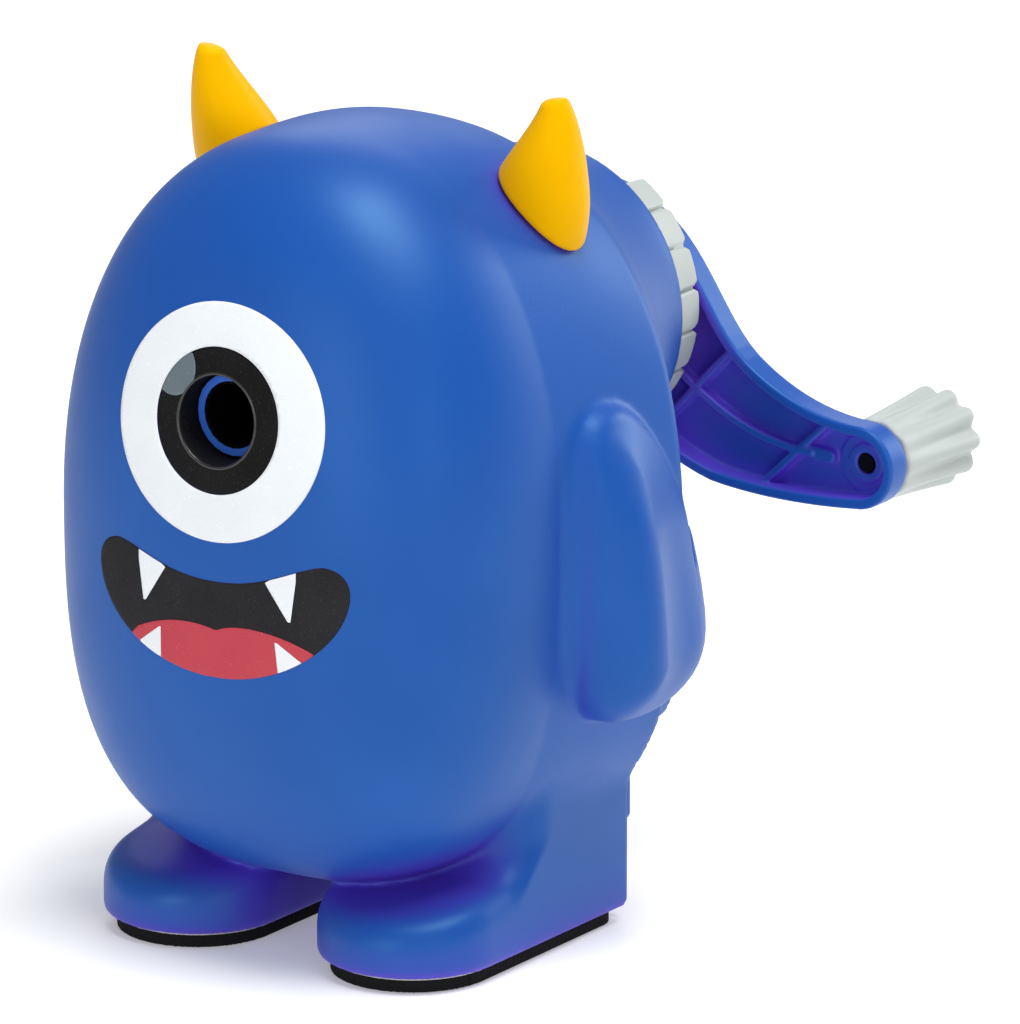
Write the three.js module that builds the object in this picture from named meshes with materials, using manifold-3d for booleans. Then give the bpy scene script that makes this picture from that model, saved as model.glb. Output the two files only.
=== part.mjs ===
// Crank pencil sharpener in the shape of a one-eyed toy monster.
// Millimetres. +X is the side the crank points to, -Y is the face, +Z is up.
// The design is drawn about the monster's own middle (x = 0, y = 0, table at z = 0) and the finished
// group is then moved so that the origin is the middle of the footprint of the whole object.
import * as THREE from 'three';
import { mergeVertices } from 'three/addons/utils/BufferGeometryUtils.js';
import Module from 'manifold-3d';

const wasm = await Module();
wasm.setup();

// ---------- driving dimensions ----------
const GAP = 0.3;                  // air between neighbouring pieces
const WALL = 2.2;                 // wall of the moulded shells
const FAR = 150;                  // longer than the object, for cutting tools that pass right through
const FOOTPRINT = { x: 2.4, y: 21.3 };   // middle of the footprint, in the drawing frame

// body: an egg section that is squeezed towards the nose
const BODY = {
  half: 37, up: 52.7, down: 51.8, midZ: 61.9, upPower: 2.2, downPower: 2.8,
  bulgeY: -6, nose: 29.2, nosePower: 2.66, noseDrop: 9.6,
  partY: 20, widen: 0.09, topDraft: 0.08,
};
const AXIS_Z = 79.3;              // pencil and crank axis
const DOME = { endY: 47.3, collarR: 22.2, power: 0.8 };

const FOOT = {
  x: 18, toeY: -13.5, toeR: 13.2, sole: 2.2, toeTop: 12,
  legTop: 27, heelY: 20, shinY: -8, shinRound: 6,
};
const HEEL = { inset: 1.6, thick: 1.8, lift: 1 };
const PAD = { inset: 1.8, thick: 1.9 };
const FLIPPER = {
  inner: 33, outer: 44, round: 3.2, clear: 0.5,
  bulge: 4.6, bulgeY: 1, bulgeLong: 9, bulgeZ: 50, bulgeHigh: 26,
};
const HORN = {
  y: 5.5, sweep: 0.12, tipZ: 120, outerX: 30.2, splay: 1.7, splayZ: 4,
  tipR: 1.55, flare: 0.39, bend: 0.0075, flareZ: 12, round: 1.3, roundPower: 2.6, halfY: 6.35,
};
const HORN_PEG = { x: 24.9, y: 6.9, r: 3.2, from: 92, to: 104 };

const EYE = { bezelR: 9.9, holeR: 6.05, tubeOut: 5.7, tubeIn: 4.7, sleeveR: 7.6 };
const TUBE = { front: -30, flange: -23.6, flangeThick: 1.8, flangeR: 11, end: -10 };
const SEAT = 1.4;                 // depth of the seat that the bezel sits in, in the face
const SOCKET = { to: -21.6, inner: 11.4, outer: 13.4, sleeveTo: -24 };

const DRAWER = { half: 21, bottom: 17, top: 38, front: -16, wall: 1.6, panelGap: 0.35, rimDrop: 4 };
const PULL = { half: 26, bottom: 12.2, shelf: 17, top: 20.4, front: 22, back: 28.6, thick: 2.8 };
const RAIL = { x: 14, half: 1.2, front: -14, back: 19, top: 16.6 };

const SCREW = {
  r: 1.3, tipY: 7.5, headR: 2.8, headThick: 1.9,
  post: 3.9, postEnd: 18, boss: 4.6, seatY: 22.4,
};
const CROSS = { arm: 1.5, half: 0.3, deep: 0.9 };   // cross recess in a screw head
const SCREW_AT = [[-31, 64], [31, 64], [-31, 33], [31, 33]];   // x and z of the cover screws

// cartridge that twists into the back of the cover
const RING = { front: 47.6, back: 54.2, r: 20.8, backR: 20.5, sides: 68 };
const GRIP_GAP = { r: 18.2, half: 29 };    // plain top and bottom of the grip ring, half its angle
const NOTCH = {
  count: 21, half: 0.75, deep: 1.5, long: 1.1,
  grooveHalf: 0.3, grooveDeep: 0.3, first: 14.9,
};
const SKIRT = { out: 19, in: 17, from: 23.4, wallFrom: 51 };
const LUG = { r: 20.6, root: 18.4, from: 38, to: 41, half: 0.26, count: 3, turn: 30 };
const BUSH = { out: 5.6, in: 3.5, flange: 7.6, from: 49.2, step: 51, to: 54.2 };

// planetary cutter
const LEAN = THREE.MathUtils.degToRad(10.5);   // half angle of the pencil point
const POINT_Y = 20;                            // where the pencil point ends
const CUTTER = {
  r: 4.6, flute: 0.55, fluteTurn: 0.28, teeth: 11,
  from: -22, to: 1.2, bore: 1.6, twist: 0.9,
};
const CUTTER_OFF = CUTTER.r / Math.cos(LEAN);  // height of the cutter axis over the point
const MODULE = 0.9;
const PINION = { teeth: 16, tip: 7.7, root: 6.1, from: 4.3, to: 7.3, hub: 3 };
const RINGGEAR = { teeth: 24, tip: 10.35, root: 11.9, out: 16.7, from: 23.8, to: 28.6 };
const TOOTH_HALF = 0.54;                       // half a tooth's width on the pitch circle
const TOOTH_SLOPE = 0.34;                      // how fast a tooth narrows towards its tip
const AXLE = { r: 1.25, from: -27.6, to: 10.6 };
const CARRIER = {
  collarFrom: -9.4, collarTo: -5, collarR: 12.6, hole: 5.2, troughIn: 7.4, troughOut: 9.4, troughHalf: 72,
  discFrom: 29.2, discTo: 32.4, discR: 9.4,
  shaft: 3.2, shaftEnd: 57.6, flat: 2.2, pilot: 1.5, pilotFrom: 50,
};

// crank
const WASHER = { in: 3.5, out: 6, from: 54.5, to: 55.3 };
const ARM = {
  front: 55, back: 59.8, wall: 1.5, floor: 1.2, endX: 45.7, endZ: 59.5, endR: 6,
  hubX: 0.6, hubZ: -0.9, hubR: 16.5, leave: 58, join: -96, boss: 6.4, endBoss: 2.9, endBossY: 57.9, hole: 1.5,
};
const RIB = { half: 0.55, front: 56.9, spineEnd: 39.5 };
const KNOB = {
  from: 60.1, to: 77.8, baseR: 5.9, endR: 7.1, lobes: 10, flute: 0.75,
  bore: 1.7, pocket: 3.2, pocketY: 73.8, closeAt: 0.86, close: 1.5,
};
const CRANK_SCREW = { r: 1.2, from: 51, headR: 3.2, headThick: 2 };
const KNOB_SCREW = { r: 1.3, from: 58, headR: 2.8, headThick: 1.9 };

// ---------- materials ----------
const plastic = (color, roughness) => new THREE.MeshStandardMaterial({ color, roughness, metalness: 0 });
const steel = new THREE.MeshStandardMaterial({ color: 0xb9bcc0, roughness: 0.3, metalness: 1 });
const MATERIAL = {
  blue: plastic(0x3462b6, 0.45),
  yellow: plastic(0xf7ba08, 0.4),
  grey: plastic(0xc8d2cd, 0.5),
  black: plastic(0x1c1b1d, 0.5),
  foam: plastic(0x17171a, 0.95),
  white: plastic(0xe9e9e4, 0.45),
  steel,
};

// ---------- solids ----------
// A three.js geometry as a solid that can be joined and cut, with its faces turned outwards.
function solid(geometry) {
  const bare = geometry.index ? geometry.toNonIndexed() : geometry.clone();
  for (const name of Object.keys(bare.attributes)) if (name !== 'position') bare.deleteAttribute(name);
  const merged = mergeVertices(bare, 1e-4);
  const vertProperties = new Float32Array(merged.attributes.position.array);
  const triVerts = new Uint32Array(merged.index.array);
  const shape = new wasm.Manifold(new wasm.Mesh({ numProp: 3, vertProperties, triVerts }));
  if (shape.volume() > 0) return shape;
  const turned = triVerts.slice().reverse();
  return new wasm.Manifold(new wasm.Mesh({ numProp: 3, vertProperties, triVerts: turned }));
}

// A solid as a named node of the assembly.
function node(name, shape, material) {
  const mesh = shape.getMesh();
  const geometry = new THREE.BufferGeometry();
  geometry.setAttribute('position', new THREE.BufferAttribute(new Float32Array(mesh.vertProperties), 3));
  geometry.setIndex(new THREE.BufferAttribute(new Uint32Array(mesh.triVerts), 1));
  geometry.computeVertexNormals();
  const piece = new THREE.Mesh(geometry, material);
  piece.name = name;
  return piece;
}

const union = (...shapes) => shapes.reduce((whole, shape) => whole.add(shape));

// Rings of equal point count, joined into one closed body with a fan on each end.
function loft(rings) {
  const count = rings[0].length;
  const points = rings.flat();
  const faces = [];
  for (let i = 0; i + 1 < rings.length; i += 1) {
    for (let j = 0; j < count; j += 1) {
      const k = (j + 1) % count;
      const [a, b, c, d] = [i * count + j, i * count + k, (i + 1) * count + k, (i + 1) * count + j];
      faces.push(a, b, c, a, c, d);
    }
  }
  const middle = (ring) => ring.reduce((sum, p) => sum.add(p), new THREE.Vector3()).divideScalar(count);
  points.push(middle(rings[0]), middle(rings.at(-1)));
  const last = (rings.length - 1) * count;
  for (let j = 0; j < count; j += 1) {
    const k = (j + 1) % count;
    faces.push(points.length - 2, k, j);
    faces.push(points.length - 1, last + j, last + k);
  }
  const geometry = new THREE.BufferGeometry().setFromPoints(points);
  geometry.setIndex(faces);
  return solid(geometry);
}

// An outline drawn in x and z, pulled along +Y from y0 to y1.
function alongY(shape, y0, y1, curveSegments = 24) {
  const geometry = new THREE.ExtrudeGeometry(shape, { depth: y1 - y0, bevelEnabled: false, curveSegments });
  geometry.rotateX(Math.PI / 2);
  geometry.translate(0, y1, 0);
  return solid(geometry);
}

// An outline drawn in x and y, pulled up from z0 to z1.
function alongZ(shape, z0, z1) {
  const depth = z1 - z0;
  const geometry = new THREE.ExtrudeGeometry(shape, { depth, bevelEnabled: false, curveSegments: 8 });
  geometry.translate(0, 0, z0);
  return solid(geometry);
}

const SIDES = 24;
const RING_SIDES = 34;
const SMALL_SIDES = 12;
const MEDIUM_SIDES = 16;

// A rod along Y about the point x, z.
function rodY(r, y0, y1, x = 0, z = AXIS_Z, sides = SIDES) {
  const geometry = new THREE.CylinderGeometry(r, r, y1 - y0, sides);
  geometry.translate(x, (y0 + y1) / 2, z);
  return solid(geometry);
}

const tubeY = (outer, inner, y0, y1, x = 0, z = AXIS_Z, sides = SIDES) =>
  rodY(outer, y0, y1, x, z, sides).subtract(rodY(inner, y0 - 1, y1 + 1, x, z, sides));

function block(x0, x1, y0, y1, z0, z1) {
  const geometry = new THREE.BoxGeometry(x1 - x0, y1 - y0, z1 - z0);
  geometry.translate((x0 + x1) / 2, (y0 + y1) / 2, (z0 + z1) / 2);
  return solid(geometry);
}

// Everything between two depths.
const slab = (y0, y1, z0 = 0) => block(-FAR, FAR, y0, y1, z0, FAR);

// ---------- body shape ----------
const AROUND = 34;
const power = (value, n) => Math.sign(value) * Math.abs(value) ** n;

// One point of the egg section, as x and z from its middle, shrunk by an inset.
function egg(angle, inset) {
  const c = Math.cos(angle);
  const s = Math.sin(angle);
  const n = s > 0 ? BODY.upPower : BODY.downPower;
  const height = s > 0 ? BODY.up : BODY.down;
  return { x: (BODY.half - inset) * power(c, 2 / n), z: (height - inset) * power(s, 2 / n) };
}

// One section of the body at a depth y: its size is 0 at the nose and 1 behind the bulge, from where
// the mould's draft widens it to the parting plane and the top comes down a little.
function section(y, size, inset) {
  const back = THREE.MathUtils.clamp((y - BODY.bulgeY) / (BODY.partY - BODY.bulgeY), 0, 1);
  const wide = 1 + BODY.widen * back;
  const low = 1 - BODY.topDraft * back ** 3;
  return Array.from({ length: AROUND }, (_, i) => {
    const p = egg((i / AROUND) * 2 * Math.PI, inset);
    const z = BODY.midZ - BODY.noseDrop * (1 - size) + p.z * size * (p.z > 0 ? low : 1);
    return new THREE.Vector3(p.x * size * wide, y, z);
  });
}

// The part of the body in front of the parting plane.
function frontBody(inset, endY = BODY.partY) {
  const rings = [];
  const steps = 8;
  for (let i = 0; i < steps; i += 1) {
    const turn = (1 - (i + 0.35) / steps) * Math.PI / 2;
    const size = Math.cos(turn) ** (2 / BODY.nosePower);
    const depth = (BODY.nose - inset) * Math.sin(turn) ** (2 / BODY.nosePower);
    rings.push(section(BODY.bulgeY - depth, size, inset));
  }
  rings.push(section(BODY.bulgeY, 1, inset));
  rings.push(section((BODY.bulgeY + BODY.partY) / 2, 1, inset));
  rings.push(section(BODY.partY, 1, inset));
  if (endY > BODY.partY) rings.push(section(endY, 1, inset));
  return loft(rings);
}

// The dome behind the parting plane, which closes in from the egg to the round collar.
function rearBody(inset, startY = BODY.partY) {
  const rings = [];
  const steps = 5;
  const depth = DOME.endY - inset - BODY.partY;
  const edge = section(BODY.partY, 1, inset);
  if (startY < BODY.partY) rings.push(edge.map((p) => p.clone().setY(startY)));
  for (let i = 0; i <= steps; i += 1) {
    const turn = (i / steps) * Math.PI / 2;
    const closing = 1 - Math.cos(turn) ** (2 / DOME.power);
    const y = BODY.partY + depth * Math.sin(turn) ** (2 / DOME.power);
    rings.push(edge.map((p, j) => {
      const angle = (j / AROUND) * 2 * Math.PI;
      const r = DOME.collarR - inset;
      const round = new THREE.Vector3(r * Math.cos(angle), y, AXIS_Z + r * Math.sin(angle));
      return p.clone().setY(y).lerp(round, closing);
    }));
  }
  return loft(rings);
}

// ---------- front shell ----------
// Footprint of one foot: a round toe and straight sides to the heel.
function footOutline(side, inset, heel = FOOT.heelY) {
  const r = FOOT.toeR - inset;
  const shape = new THREE.Shape();
  shape.moveTo(side * FOOT.x + r, heel);
  shape.lineTo(side * FOOT.x - r, heel);
  shape.lineTo(side * FOOT.x - r, FOOT.toeY);
  shape.absarc(side * FOOT.x, FOOT.toeY, r, Math.PI, 2 * Math.PI, false);
  shape.closePath();
  return shape;
}

// The leg above a foot, between the toe and the belly.
function legOutline(side, inset) {
  const r = FOOT.toeR - inset;
  const x = side * FOOT.x;
  const shape = new THREE.Shape();
  shape.moveTo(x + r, FOOT.heelY);
  shape.lineTo(x - r, FOOT.heelY);
  const shin = FOOT.shinY + inset;
  shape.lineTo(x - r, shin + FOOT.shinRound);
  shape.quadraticCurveTo(x - r, shin, x, shin);
  shape.quadraticCurveTo(x + r, shin, x + r, shin + FOOT.shinRound);
  shape.closePath();
  return shape;
}

function foot(side, inset) {
  const low = alongZ(footOutline(side, inset), FOOT.sole + inset, FOOT.toeTop - inset);
  const leg = alongZ(legOutline(side, inset), FOOT.sole + inset, FOOT.legTop);
  return low.add(leg);
}

// Flipper on the side of the body: a rounded paddle that is widest low down and behind, and stands out
// most near its front edge.
function flipper(side) {
  const shape = new THREE.Shape();
  shape.moveTo(4, 78.5);
  shape.bezierCurveTo(-3, 78.5, -2.6, 70, -2.6, 58);
  shape.bezierCurveTo(-2.6, 46, -3, 37, 4.5, 36);
  shape.bezierCurveTo(13, 34.5, 21.6, 36, 21.2, 45);
  shape.bezierCurveTo(20.6, 56, 13, 78, 4, 78.5);
  const geometry = new THREE.ExtrudeGeometry(shape, {
    depth: FLIPPER.outer - FLIPPER.inner - FLIPPER.round,
    bevelThickness: FLIPPER.round,
    bevelSize: FLIPPER.round * 0.75,
    bevelSegments: 2,
    curveSegments: 4,
  });
  geometry.applyMatrix4(new THREE.Matrix4().makeBasis(
    new THREE.Vector3(0, 1, 0), new THREE.Vector3(0, 0, 1), new THREE.Vector3(1, 0, 0)));
  const p = geometry.attributes.position;
  for (let i = 0; i < p.count; i += 1) {
    const outwards = Math.max(0, p.getX(i) / (FLIPPER.outer - FLIPPER.inner));
    const along = (p.getY(i) - FLIPPER.bulgeY) / FLIPPER.bulgeLong;
    const up = (p.getZ(i) - FLIPPER.bulgeZ) / FLIPPER.bulgeHigh;
    const bulge = FLIPPER.bulge * Math.exp(-along * along) * Math.max(0, 1 - up * up);
    p.setX(i, p.getX(i) + bulge * outwards);
  }
  geometry.translate(FLIPPER.inner, 0, 0);
  geometry.scale(side, 1, 1);
  return solid(geometry);
}

// Both flippers, which reach past the parting plane and lie clear over the rear cover there.
function flippers() {
  const behind = rearBody(-FLIPPER.clear, BODY.partY - 0.01).intersect(slab(BODY.partY, FAR));
  return flipper(-1).add(flipper(1)).subtract(behind);
}

// The hollow of one foot, which is open towards the rear cover.
function footHollow(side) {
  const x = side * FOOT.x;
  const half = FOOT.toeR - WALL;
  const heel = block(x - half, x + half, BODY.partY - 5, BODY.partY + 1, FOOT.sole + WALL, FOOT.legTop);
  return foot(side, WALL).add(heel);
}

function frontShell() {
  const front = slab(-FAR, BODY.partY, FOOT.sole);
  const outer = union(frontBody(0), foot(-1, 0), foot(1, 0)).intersect(front).add(flippers());
  const hollow = union(frontBody(WALL, BODY.partY + 1), footHollow(-1), footHollow(1));
  let shell = outer.subtract(hollow);
  for (const [x, z] of SCREW_AT) {
    shell = shell.add(rodY(SCREW.post, -FAR, SCREW.postEnd, x, z, SMALL_SIDES).intersect(outer));
  }
  shell = shell.add(tubeY(SOCKET.outer, SOCKET.inner, -FAR, SOCKET.to).intersect(outer));
  for (const side of [-1, 1]) {
    const x = side * RAIL.x;
    const rail = block(x - RAIL.half, x + RAIL.half, RAIL.front, RAIL.back, FOOT.sole + 1, RAIL.top);
    shell = shell.add(rail.intersect(outer));
  }
  for (const [x, z] of SCREW_AT) {
    shell = shell.subtract(rodY(SCREW.r + GAP, SCREW.tipY - 1.5, SCREW.postEnd + 1, x, z, SMALL_SIDES));
  }
  const seat = frontBody(-1).subtract(frontBody(SEAT));
  shell = shell.subtract(rodY(EYE.bezelR, -FAR, SOCKET.to).intersect(seat));
  shell = shell.subtract(rodY(EYE.sleeveR + GAP, -FAR, SOCKET.sleeveTo));
  for (const side of [-1, 1]) shell = shell.subtract(hornPeg(side, GAP));
  return shell;
}

// ---------- horns ----------
function hornPeg(side, extra) {
  const r = HORN_PEG.r + extra;
  const geometry = new THREE.CylinderGeometry(r, r, HORN_PEG.to - HORN_PEG.from, SMALL_SIDES);
  geometry.rotateX(Math.PI / 2);
  geometry.translate(side * HORN_PEG.x, HORN_PEG.y, (HORN_PEG.from + HORN_PEG.to) / 2);
  return solid(geometry);
}

// One section of a horn at a depth below its tip. The outer side is nearly straight, the inner side flares
// out and the section sweeps back towards the base.
function hornRing(side, down) {
  const count = 22;
  const cap = (1 - Math.max(0, 1 - down / HORN.round) ** HORN.roundPower) ** (1 / HORN.roundPower);
  const grow = Math.min(down, HORN.flareZ);
  const r = (HORN.tipR + HORN.flare * grow + HORN.bend * grow ** 2) * cap;
  const x = HORN.outerX + HORN.splay * (1 - Math.exp(-down / HORN.splayZ)) - r;
  const y = HORN.y + HORN.sweep * down;
  const halfY = Math.min(r, HORN.halfY);
  return Array.from({ length: count }, (_, i) => {
    const angle = (i / count) * 2 * Math.PI;
    const z = HORN.tipZ - down;
    return new THREE.Vector3(side * x + r * Math.cos(angle), y + halfY * Math.sin(angle), z);
  });
}

// A horn that sits on the body with a peg.
function horn(side) {
  const rings = [0.05, 0.3, 0.7, 1.3, 2.5, 4, 6, 8.5, 12, 17, 22, 28].map((down) => hornRing(side, down));
  const seat = frontBody(-GAP, BODY.partY + 20);
  return loft(rings).subtract(seat).add(hornPeg(side, 0));
}

// ---------- eye: bezel and pencil guide ----------
function pencilBezel() {
  const skin = frontBody(0).subtract(frontBody(SEAT - GAP));
  const washer = tubeY(EYE.bezelR - GAP, EYE.holeR, -FAR, SOCKET.to).intersect(skin);
  const sleeve = tubeY(EYE.sleeveR, EYE.holeR, -FAR, TUBE.flange - GAP).intersect(frontBody(1));
  return washer.add(sleeve);
}

function guideTube() {
  const tube = tubeY(EYE.tubeOut, EYE.tubeIn, TUBE.front, TUBE.end);
  return tube.add(tubeY(TUBE.flangeR, EYE.tubeIn, TUBE.flange, TUBE.flange + TUBE.flangeThick));
}

// ---------- pads under the feet ----------
const footPad = (side) => alongZ(footOutline(side, PAD.inset, FOOT.heelY - PAD.inset), 0, PAD.thick);

// ---------- rear cover ----------
function drawerHole(extra) {
  const half = DRAWER.half + extra;
  return block(-half, half, BODY.partY - 5, FAR, DRAWER.bottom - extra, DRAWER.top + extra);
}

// Plate that closes the hollow heel of one foot from behind.
function heelPlate(side) {
  const x = side * FOOT.x;
  const half = FOOT.toeR - HEEL.inset;
  const y = BODY.partY + GAP;
  return block(x - half, x + half, y, y + HEEL.thick, FOOT.sole + HEEL.lift, FOOT.legTop);
}

function rearCover() {
  const collarEnd = RING.front - GAP;
  const pocket = LUG.r + GAP;
  const ring = (outer, inner, y0, y1) => tubeY(outer, inner, y0, y1, 0, AXIS_Z, RING_SIDES);
  const rod = (r, y0, y1) => rodY(r, y0, y1, 0, AXIS_Z, RING_SIDES);
  const collar = rod(DOME.collarR, LUG.to, collarEnd);
  const outer = union(rearBody(0, BODY.partY - 1), heelPlate(-1), heelPlate(1), collar);
  let shell = outer.subtract(rearBody(WALL, BODY.partY - 2));
  shell = shell.add(ring(DOME.collarR, SKIRT.out + GAP, LUG.from - 4, collarEnd));
  shell = shell.subtract(rod(SKIRT.out + GAP, BODY.partY, FAR));
  shell = shell.subtract(ring(pocket, SKIRT.out - 1, LUG.from - GAP, LUG.to + GAP));
  shell = shell.intersect(slab(BODY.partY + GAP, FAR, FOOT.sole));
  for (const [x, z] of SCREW_AT) {
    shell = shell.add(rodY(SCREW.boss, BODY.partY + GAP, collarEnd, x, z, SMALL_SIDES).intersect(outer));
    shell = shell.subtract(rodY(SCREW.headR + GAP, SCREW.seatY, FAR, x, z, SMALL_SIDES));
    shell = shell.subtract(rodY(SCREW.r + GAP, 0, FAR, x, z, SMALL_SIDES));
  }
  for (let i = 0; i < LUG.count; i += 1) shell = shell.subtract(lug(i, GAP, LUG.from, FAR, -LUG.turn));
  return shell.subtract(drawerHole(DRAWER.panelGap));
}

// A cross recess in a screw head that faces backwards at the depth y.
function crossCut(screw, x, y, z) {
  const { arm, half, deep } = CROSS;
  const across = block(x - arm, x + arm, y - deep, y + 1, z - half, z + half);
  const upright = block(x - half, x + half, y - deep, y + 1, z - arm, z + arm);
  return screw.subtract(across).subtract(upright);
}

// One screw that holds the cover on the front shell.
function coverScrew([x, z]) {
  const seat = SCREW.seatY + GAP;
  const head = rodY(SCREW.headR, seat, seat + SCREW.headThick, x, z, SMALL_SIDES);
  const shank = rodY(SCREW.r, SCREW.tipY, seat + 0.5, x, z, SMALL_SIDES);
  return crossCut(head.add(shank), x, seat + SCREW.headThick, z);
}

// ---------- shavings drawer ----------
// Open tray, a panel that closes the hole in the cover, and a pull that wraps round under it.
function shavingsDrawer() {
  const { half, bottom, top, front, wall, rimDrop } = DRAWER;
  const behind = slab(BODY.partY + GAP, FAR);
  const panel = rearBody(0).subtract(rearBody(WALL)).intersect(drawerHole(0)).intersect(behind);
  const room = union(frontBody(WALL + GAP, BODY.partY + 0.1), rearBody(WALL - 0.6, BODY.partY - 1));
  const tray = block(-half, half, front, FAR, bottom, top - rimDrop)
    .subtract(block(-half + wall, half - wall, front + wall, FAR, bottom + wall, top))
    .intersect(room);
  const shelf = block(-half, half, PULL.front, PULL.back, PULL.shelf, PULL.top).subtract(rearBody(WALL));
  const lip = block(-PULL.half, PULL.half, PULL.back - PULL.thick, PULL.back, PULL.bottom, PULL.top);
  return union(panel, tray, shelf, lip.subtract(rearBody(-GAP)));
}

// ---------- twist-in cartridge ----------
// Part of a flat ring about the axis, its middle and half width given in degrees from +X.
function sector(inner, outer, middle, half) {
  const from = THREE.MathUtils.degToRad(middle - half);
  const to = THREE.MathUtils.degToRad(middle + half);
  const shape = new THREE.Shape();
  shape.absarc(0, 0, outer, from, to, false);
  shape.absarc(0, 0, inner, to, from, true);
  shape.closePath();
  return shape;
}

// One bayonet lug of the skirt, or with extra the way that it needs in the collar.
function lug(index, extra, from, to, twist = 0) {
  const half = THREE.MathUtils.radToDeg(LUG.half + extra / LUG.r);
  const shape = sector(LUG.root - extra, LUG.r + extra, (360 * index) / LUG.count + 90 + twist, half);
  return alongY(shape, from, to, 4).translate([0, 0, AXIS_Z]);
}

// Grip ring with a notch in the rear rim and a shallow groove between each two pads, and the skirt that
// carries the ring gear.
function lockRing() {
  const flange = new THREE.CylinderGeometry(RING.backR, RING.r, RING.back - RING.front, RING.sides);
  flange.translate(0, (RING.front + RING.back) / 2, AXIS_Z);
  let ring = solid(flange);
  const { half, deep, long, grooveHalf, grooveDeep } = NOTCH;
  const outside = RING.r + 1;
  const notch = block(-half, half, RING.back - long, RING.back + 1, RING.backR - deep, outside);
  const bed = RING.backR - grooveDeep;
  const groove = block(-grooveHalf, grooveHalf, RING.front - 1, RING.back, bed, outside);
  const cut = notch.add(groove);
  for (let i = 0; i < NOTCH.count; i += 1) {
    const turn = NOTCH.first + (360 * i) / NOTCH.count;
    ring = ring.subtract(cut.rotate([0, turn, 0]).translate([0, 0, AXIS_Z]));
  }
  for (const middle of [90, 270]) {
    const gap = sector(GRIP_GAP.r, RING.r + 1, middle, GRIP_GAP.half);
    ring = ring.subtract(alongY(gap, RING.front - 1, RING.back + 1, 12).translate([0, 0, AXIS_Z]));
  }
  ring = ring.add(rodY(SKIRT.out, SKIRT.from, RING.front + 1, 0, AXIS_Z, RING_SIDES));
  ring = ring.subtract(rodY(SKIRT.in, SKIRT.from - 1, SKIRT.wallFrom, 0, AXIS_Z, RING_SIDES));
  ring = ring.subtract(rodY(BUSH.out + GAP, 0, FAR));
  for (let i = 0; i < LUG.count; i += 1) ring = ring.add(lug(i, 0, LUG.from, LUG.to));
  return ring;
}

function crankBush() {
  const barrel = rodY(BUSH.out, BUSH.from, BUSH.to);
  const flange = rodY(BUSH.flange, BUSH.from, BUSH.step - GAP);
  return barrel.add(flange).subtract(rodY(BUSH.in, 0, FAR));
}

const polar = (r, angle) => new THREE.Vector2(r * Math.cos(angle), r * Math.sin(angle));

// Outline of a gear: straight-sided stub teeth between two radii, with the first tooth at an angle.
function gearOutline(teeth, tip, root, pitch, first) {
  const points = [];
  const narrower = Math.sign(tip - root) * TOOTH_SLOPE;
  const half = (r) => (TOOTH_HALF - narrower * (r - pitch)) / r;
  for (let i = 0; i < teeth; i += 1) {
    const middle = first + (i / teeth) * 2 * Math.PI;
    for (const [r, sign] of [[root, -1], [tip, -1], [tip, 1], [root, 1]]) {
      points.push(polar(r, middle + sign * half(r)));
    }
  }
  return points;
}

function ringGear() {
  const shape = new THREE.Shape().absarc(0, 0, RINGGEAR.out, 0, 2 * Math.PI, false);
  const pitch = (MODULE * RINGGEAR.teeth) / 2;
  const first = Math.PI / 2 + Math.PI / RINGGEAR.teeth;
  shape.holes.push(new THREE.Path(gearOutline(RINGGEAR.teeth, RINGGEAR.tip, RINGGEAR.root, pitch, first)));
  return alongY(shape, RINGGEAR.from, RINGGEAR.to, 12).translate([0, 0, AXIS_Z]);
}

// ---------- cutter on its leaning axle ----------
// Moves a solid drawn along local +Z, with z = 0 beside the pencil point, onto the cutter axis.
function ontoCutterAxis(shape) {
  const turn = -90 - THREE.MathUtils.radToDeg(LEAN);
  return shape.rotate([turn, 0, 0]).translate([0, POINT_Y, AXIS_Z + CUTTER_OFF]);
}

function rodZ(r, z0, z1, sides = MEDIUM_SIDES) {
  const geometry = new THREE.CylinderGeometry(r, r, z1 - z0, sides);
  geometry.rotateX(Math.PI / 2);
  geometry.translate(0, 0, (z0 + z1) / 2);
  return solid(geometry);
}

// Helical cutter: a toothed section, twisted along its length.
function cutter() {
  const points = [];
  for (let i = 0; i < CUTTER.teeth; i += 1) {
    const a = (i / CUTTER.teeth) * 2 * Math.PI;
    points.push(polar(CUTTER.r, a), polar(CUTTER.r - CUTTER.flute, a + CUTTER.fluteTurn));
  }
  const shape = new THREE.Shape(points);
  const depth = CUTTER.to - CUTTER.from;
  const geometry = new THREE.ExtrudeGeometry(shape, { depth, steps: 6, bevelEnabled: false });
  geometry.translate(0, 0, CUTTER.from);
  const p = geometry.attributes.position;
  for (let i = 0; i < p.count; i += 1) {
    const v = new THREE.Vector3().fromBufferAttribute(p, i);
    v.applyAxisAngle(new THREE.Vector3(0, 0, 1), ((v.z - CUTTER.from) / depth) * CUTTER.twist);
    p.setXYZ(i, v.x, v.y, v.z);
  }
  return ontoCutterAxis(solid(geometry).subtract(rodZ(CUTTER.bore, -FAR, FAR)));
}

function pinion() {
  const pitch = (MODULE * PINION.teeth) / 2;
  const shape = new THREE.Shape(gearOutline(PINION.teeth, PINION.tip, PINION.root, pitch, -Math.PI / 2));
  const disc = alongZ(shape, PINION.from, PINION.to);
  const hub = rodZ(PINION.hub, CUTTER.to + GAP, PINION.from + 1);
  return ontoCutterAxis(disc.add(hub).subtract(rodZ(CUTTER.bore, -FAR, FAR)));
}

const cutterAxle = () => ontoCutterAxis(rodZ(AXLE.r, AXLE.from, AXLE.to));

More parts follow.
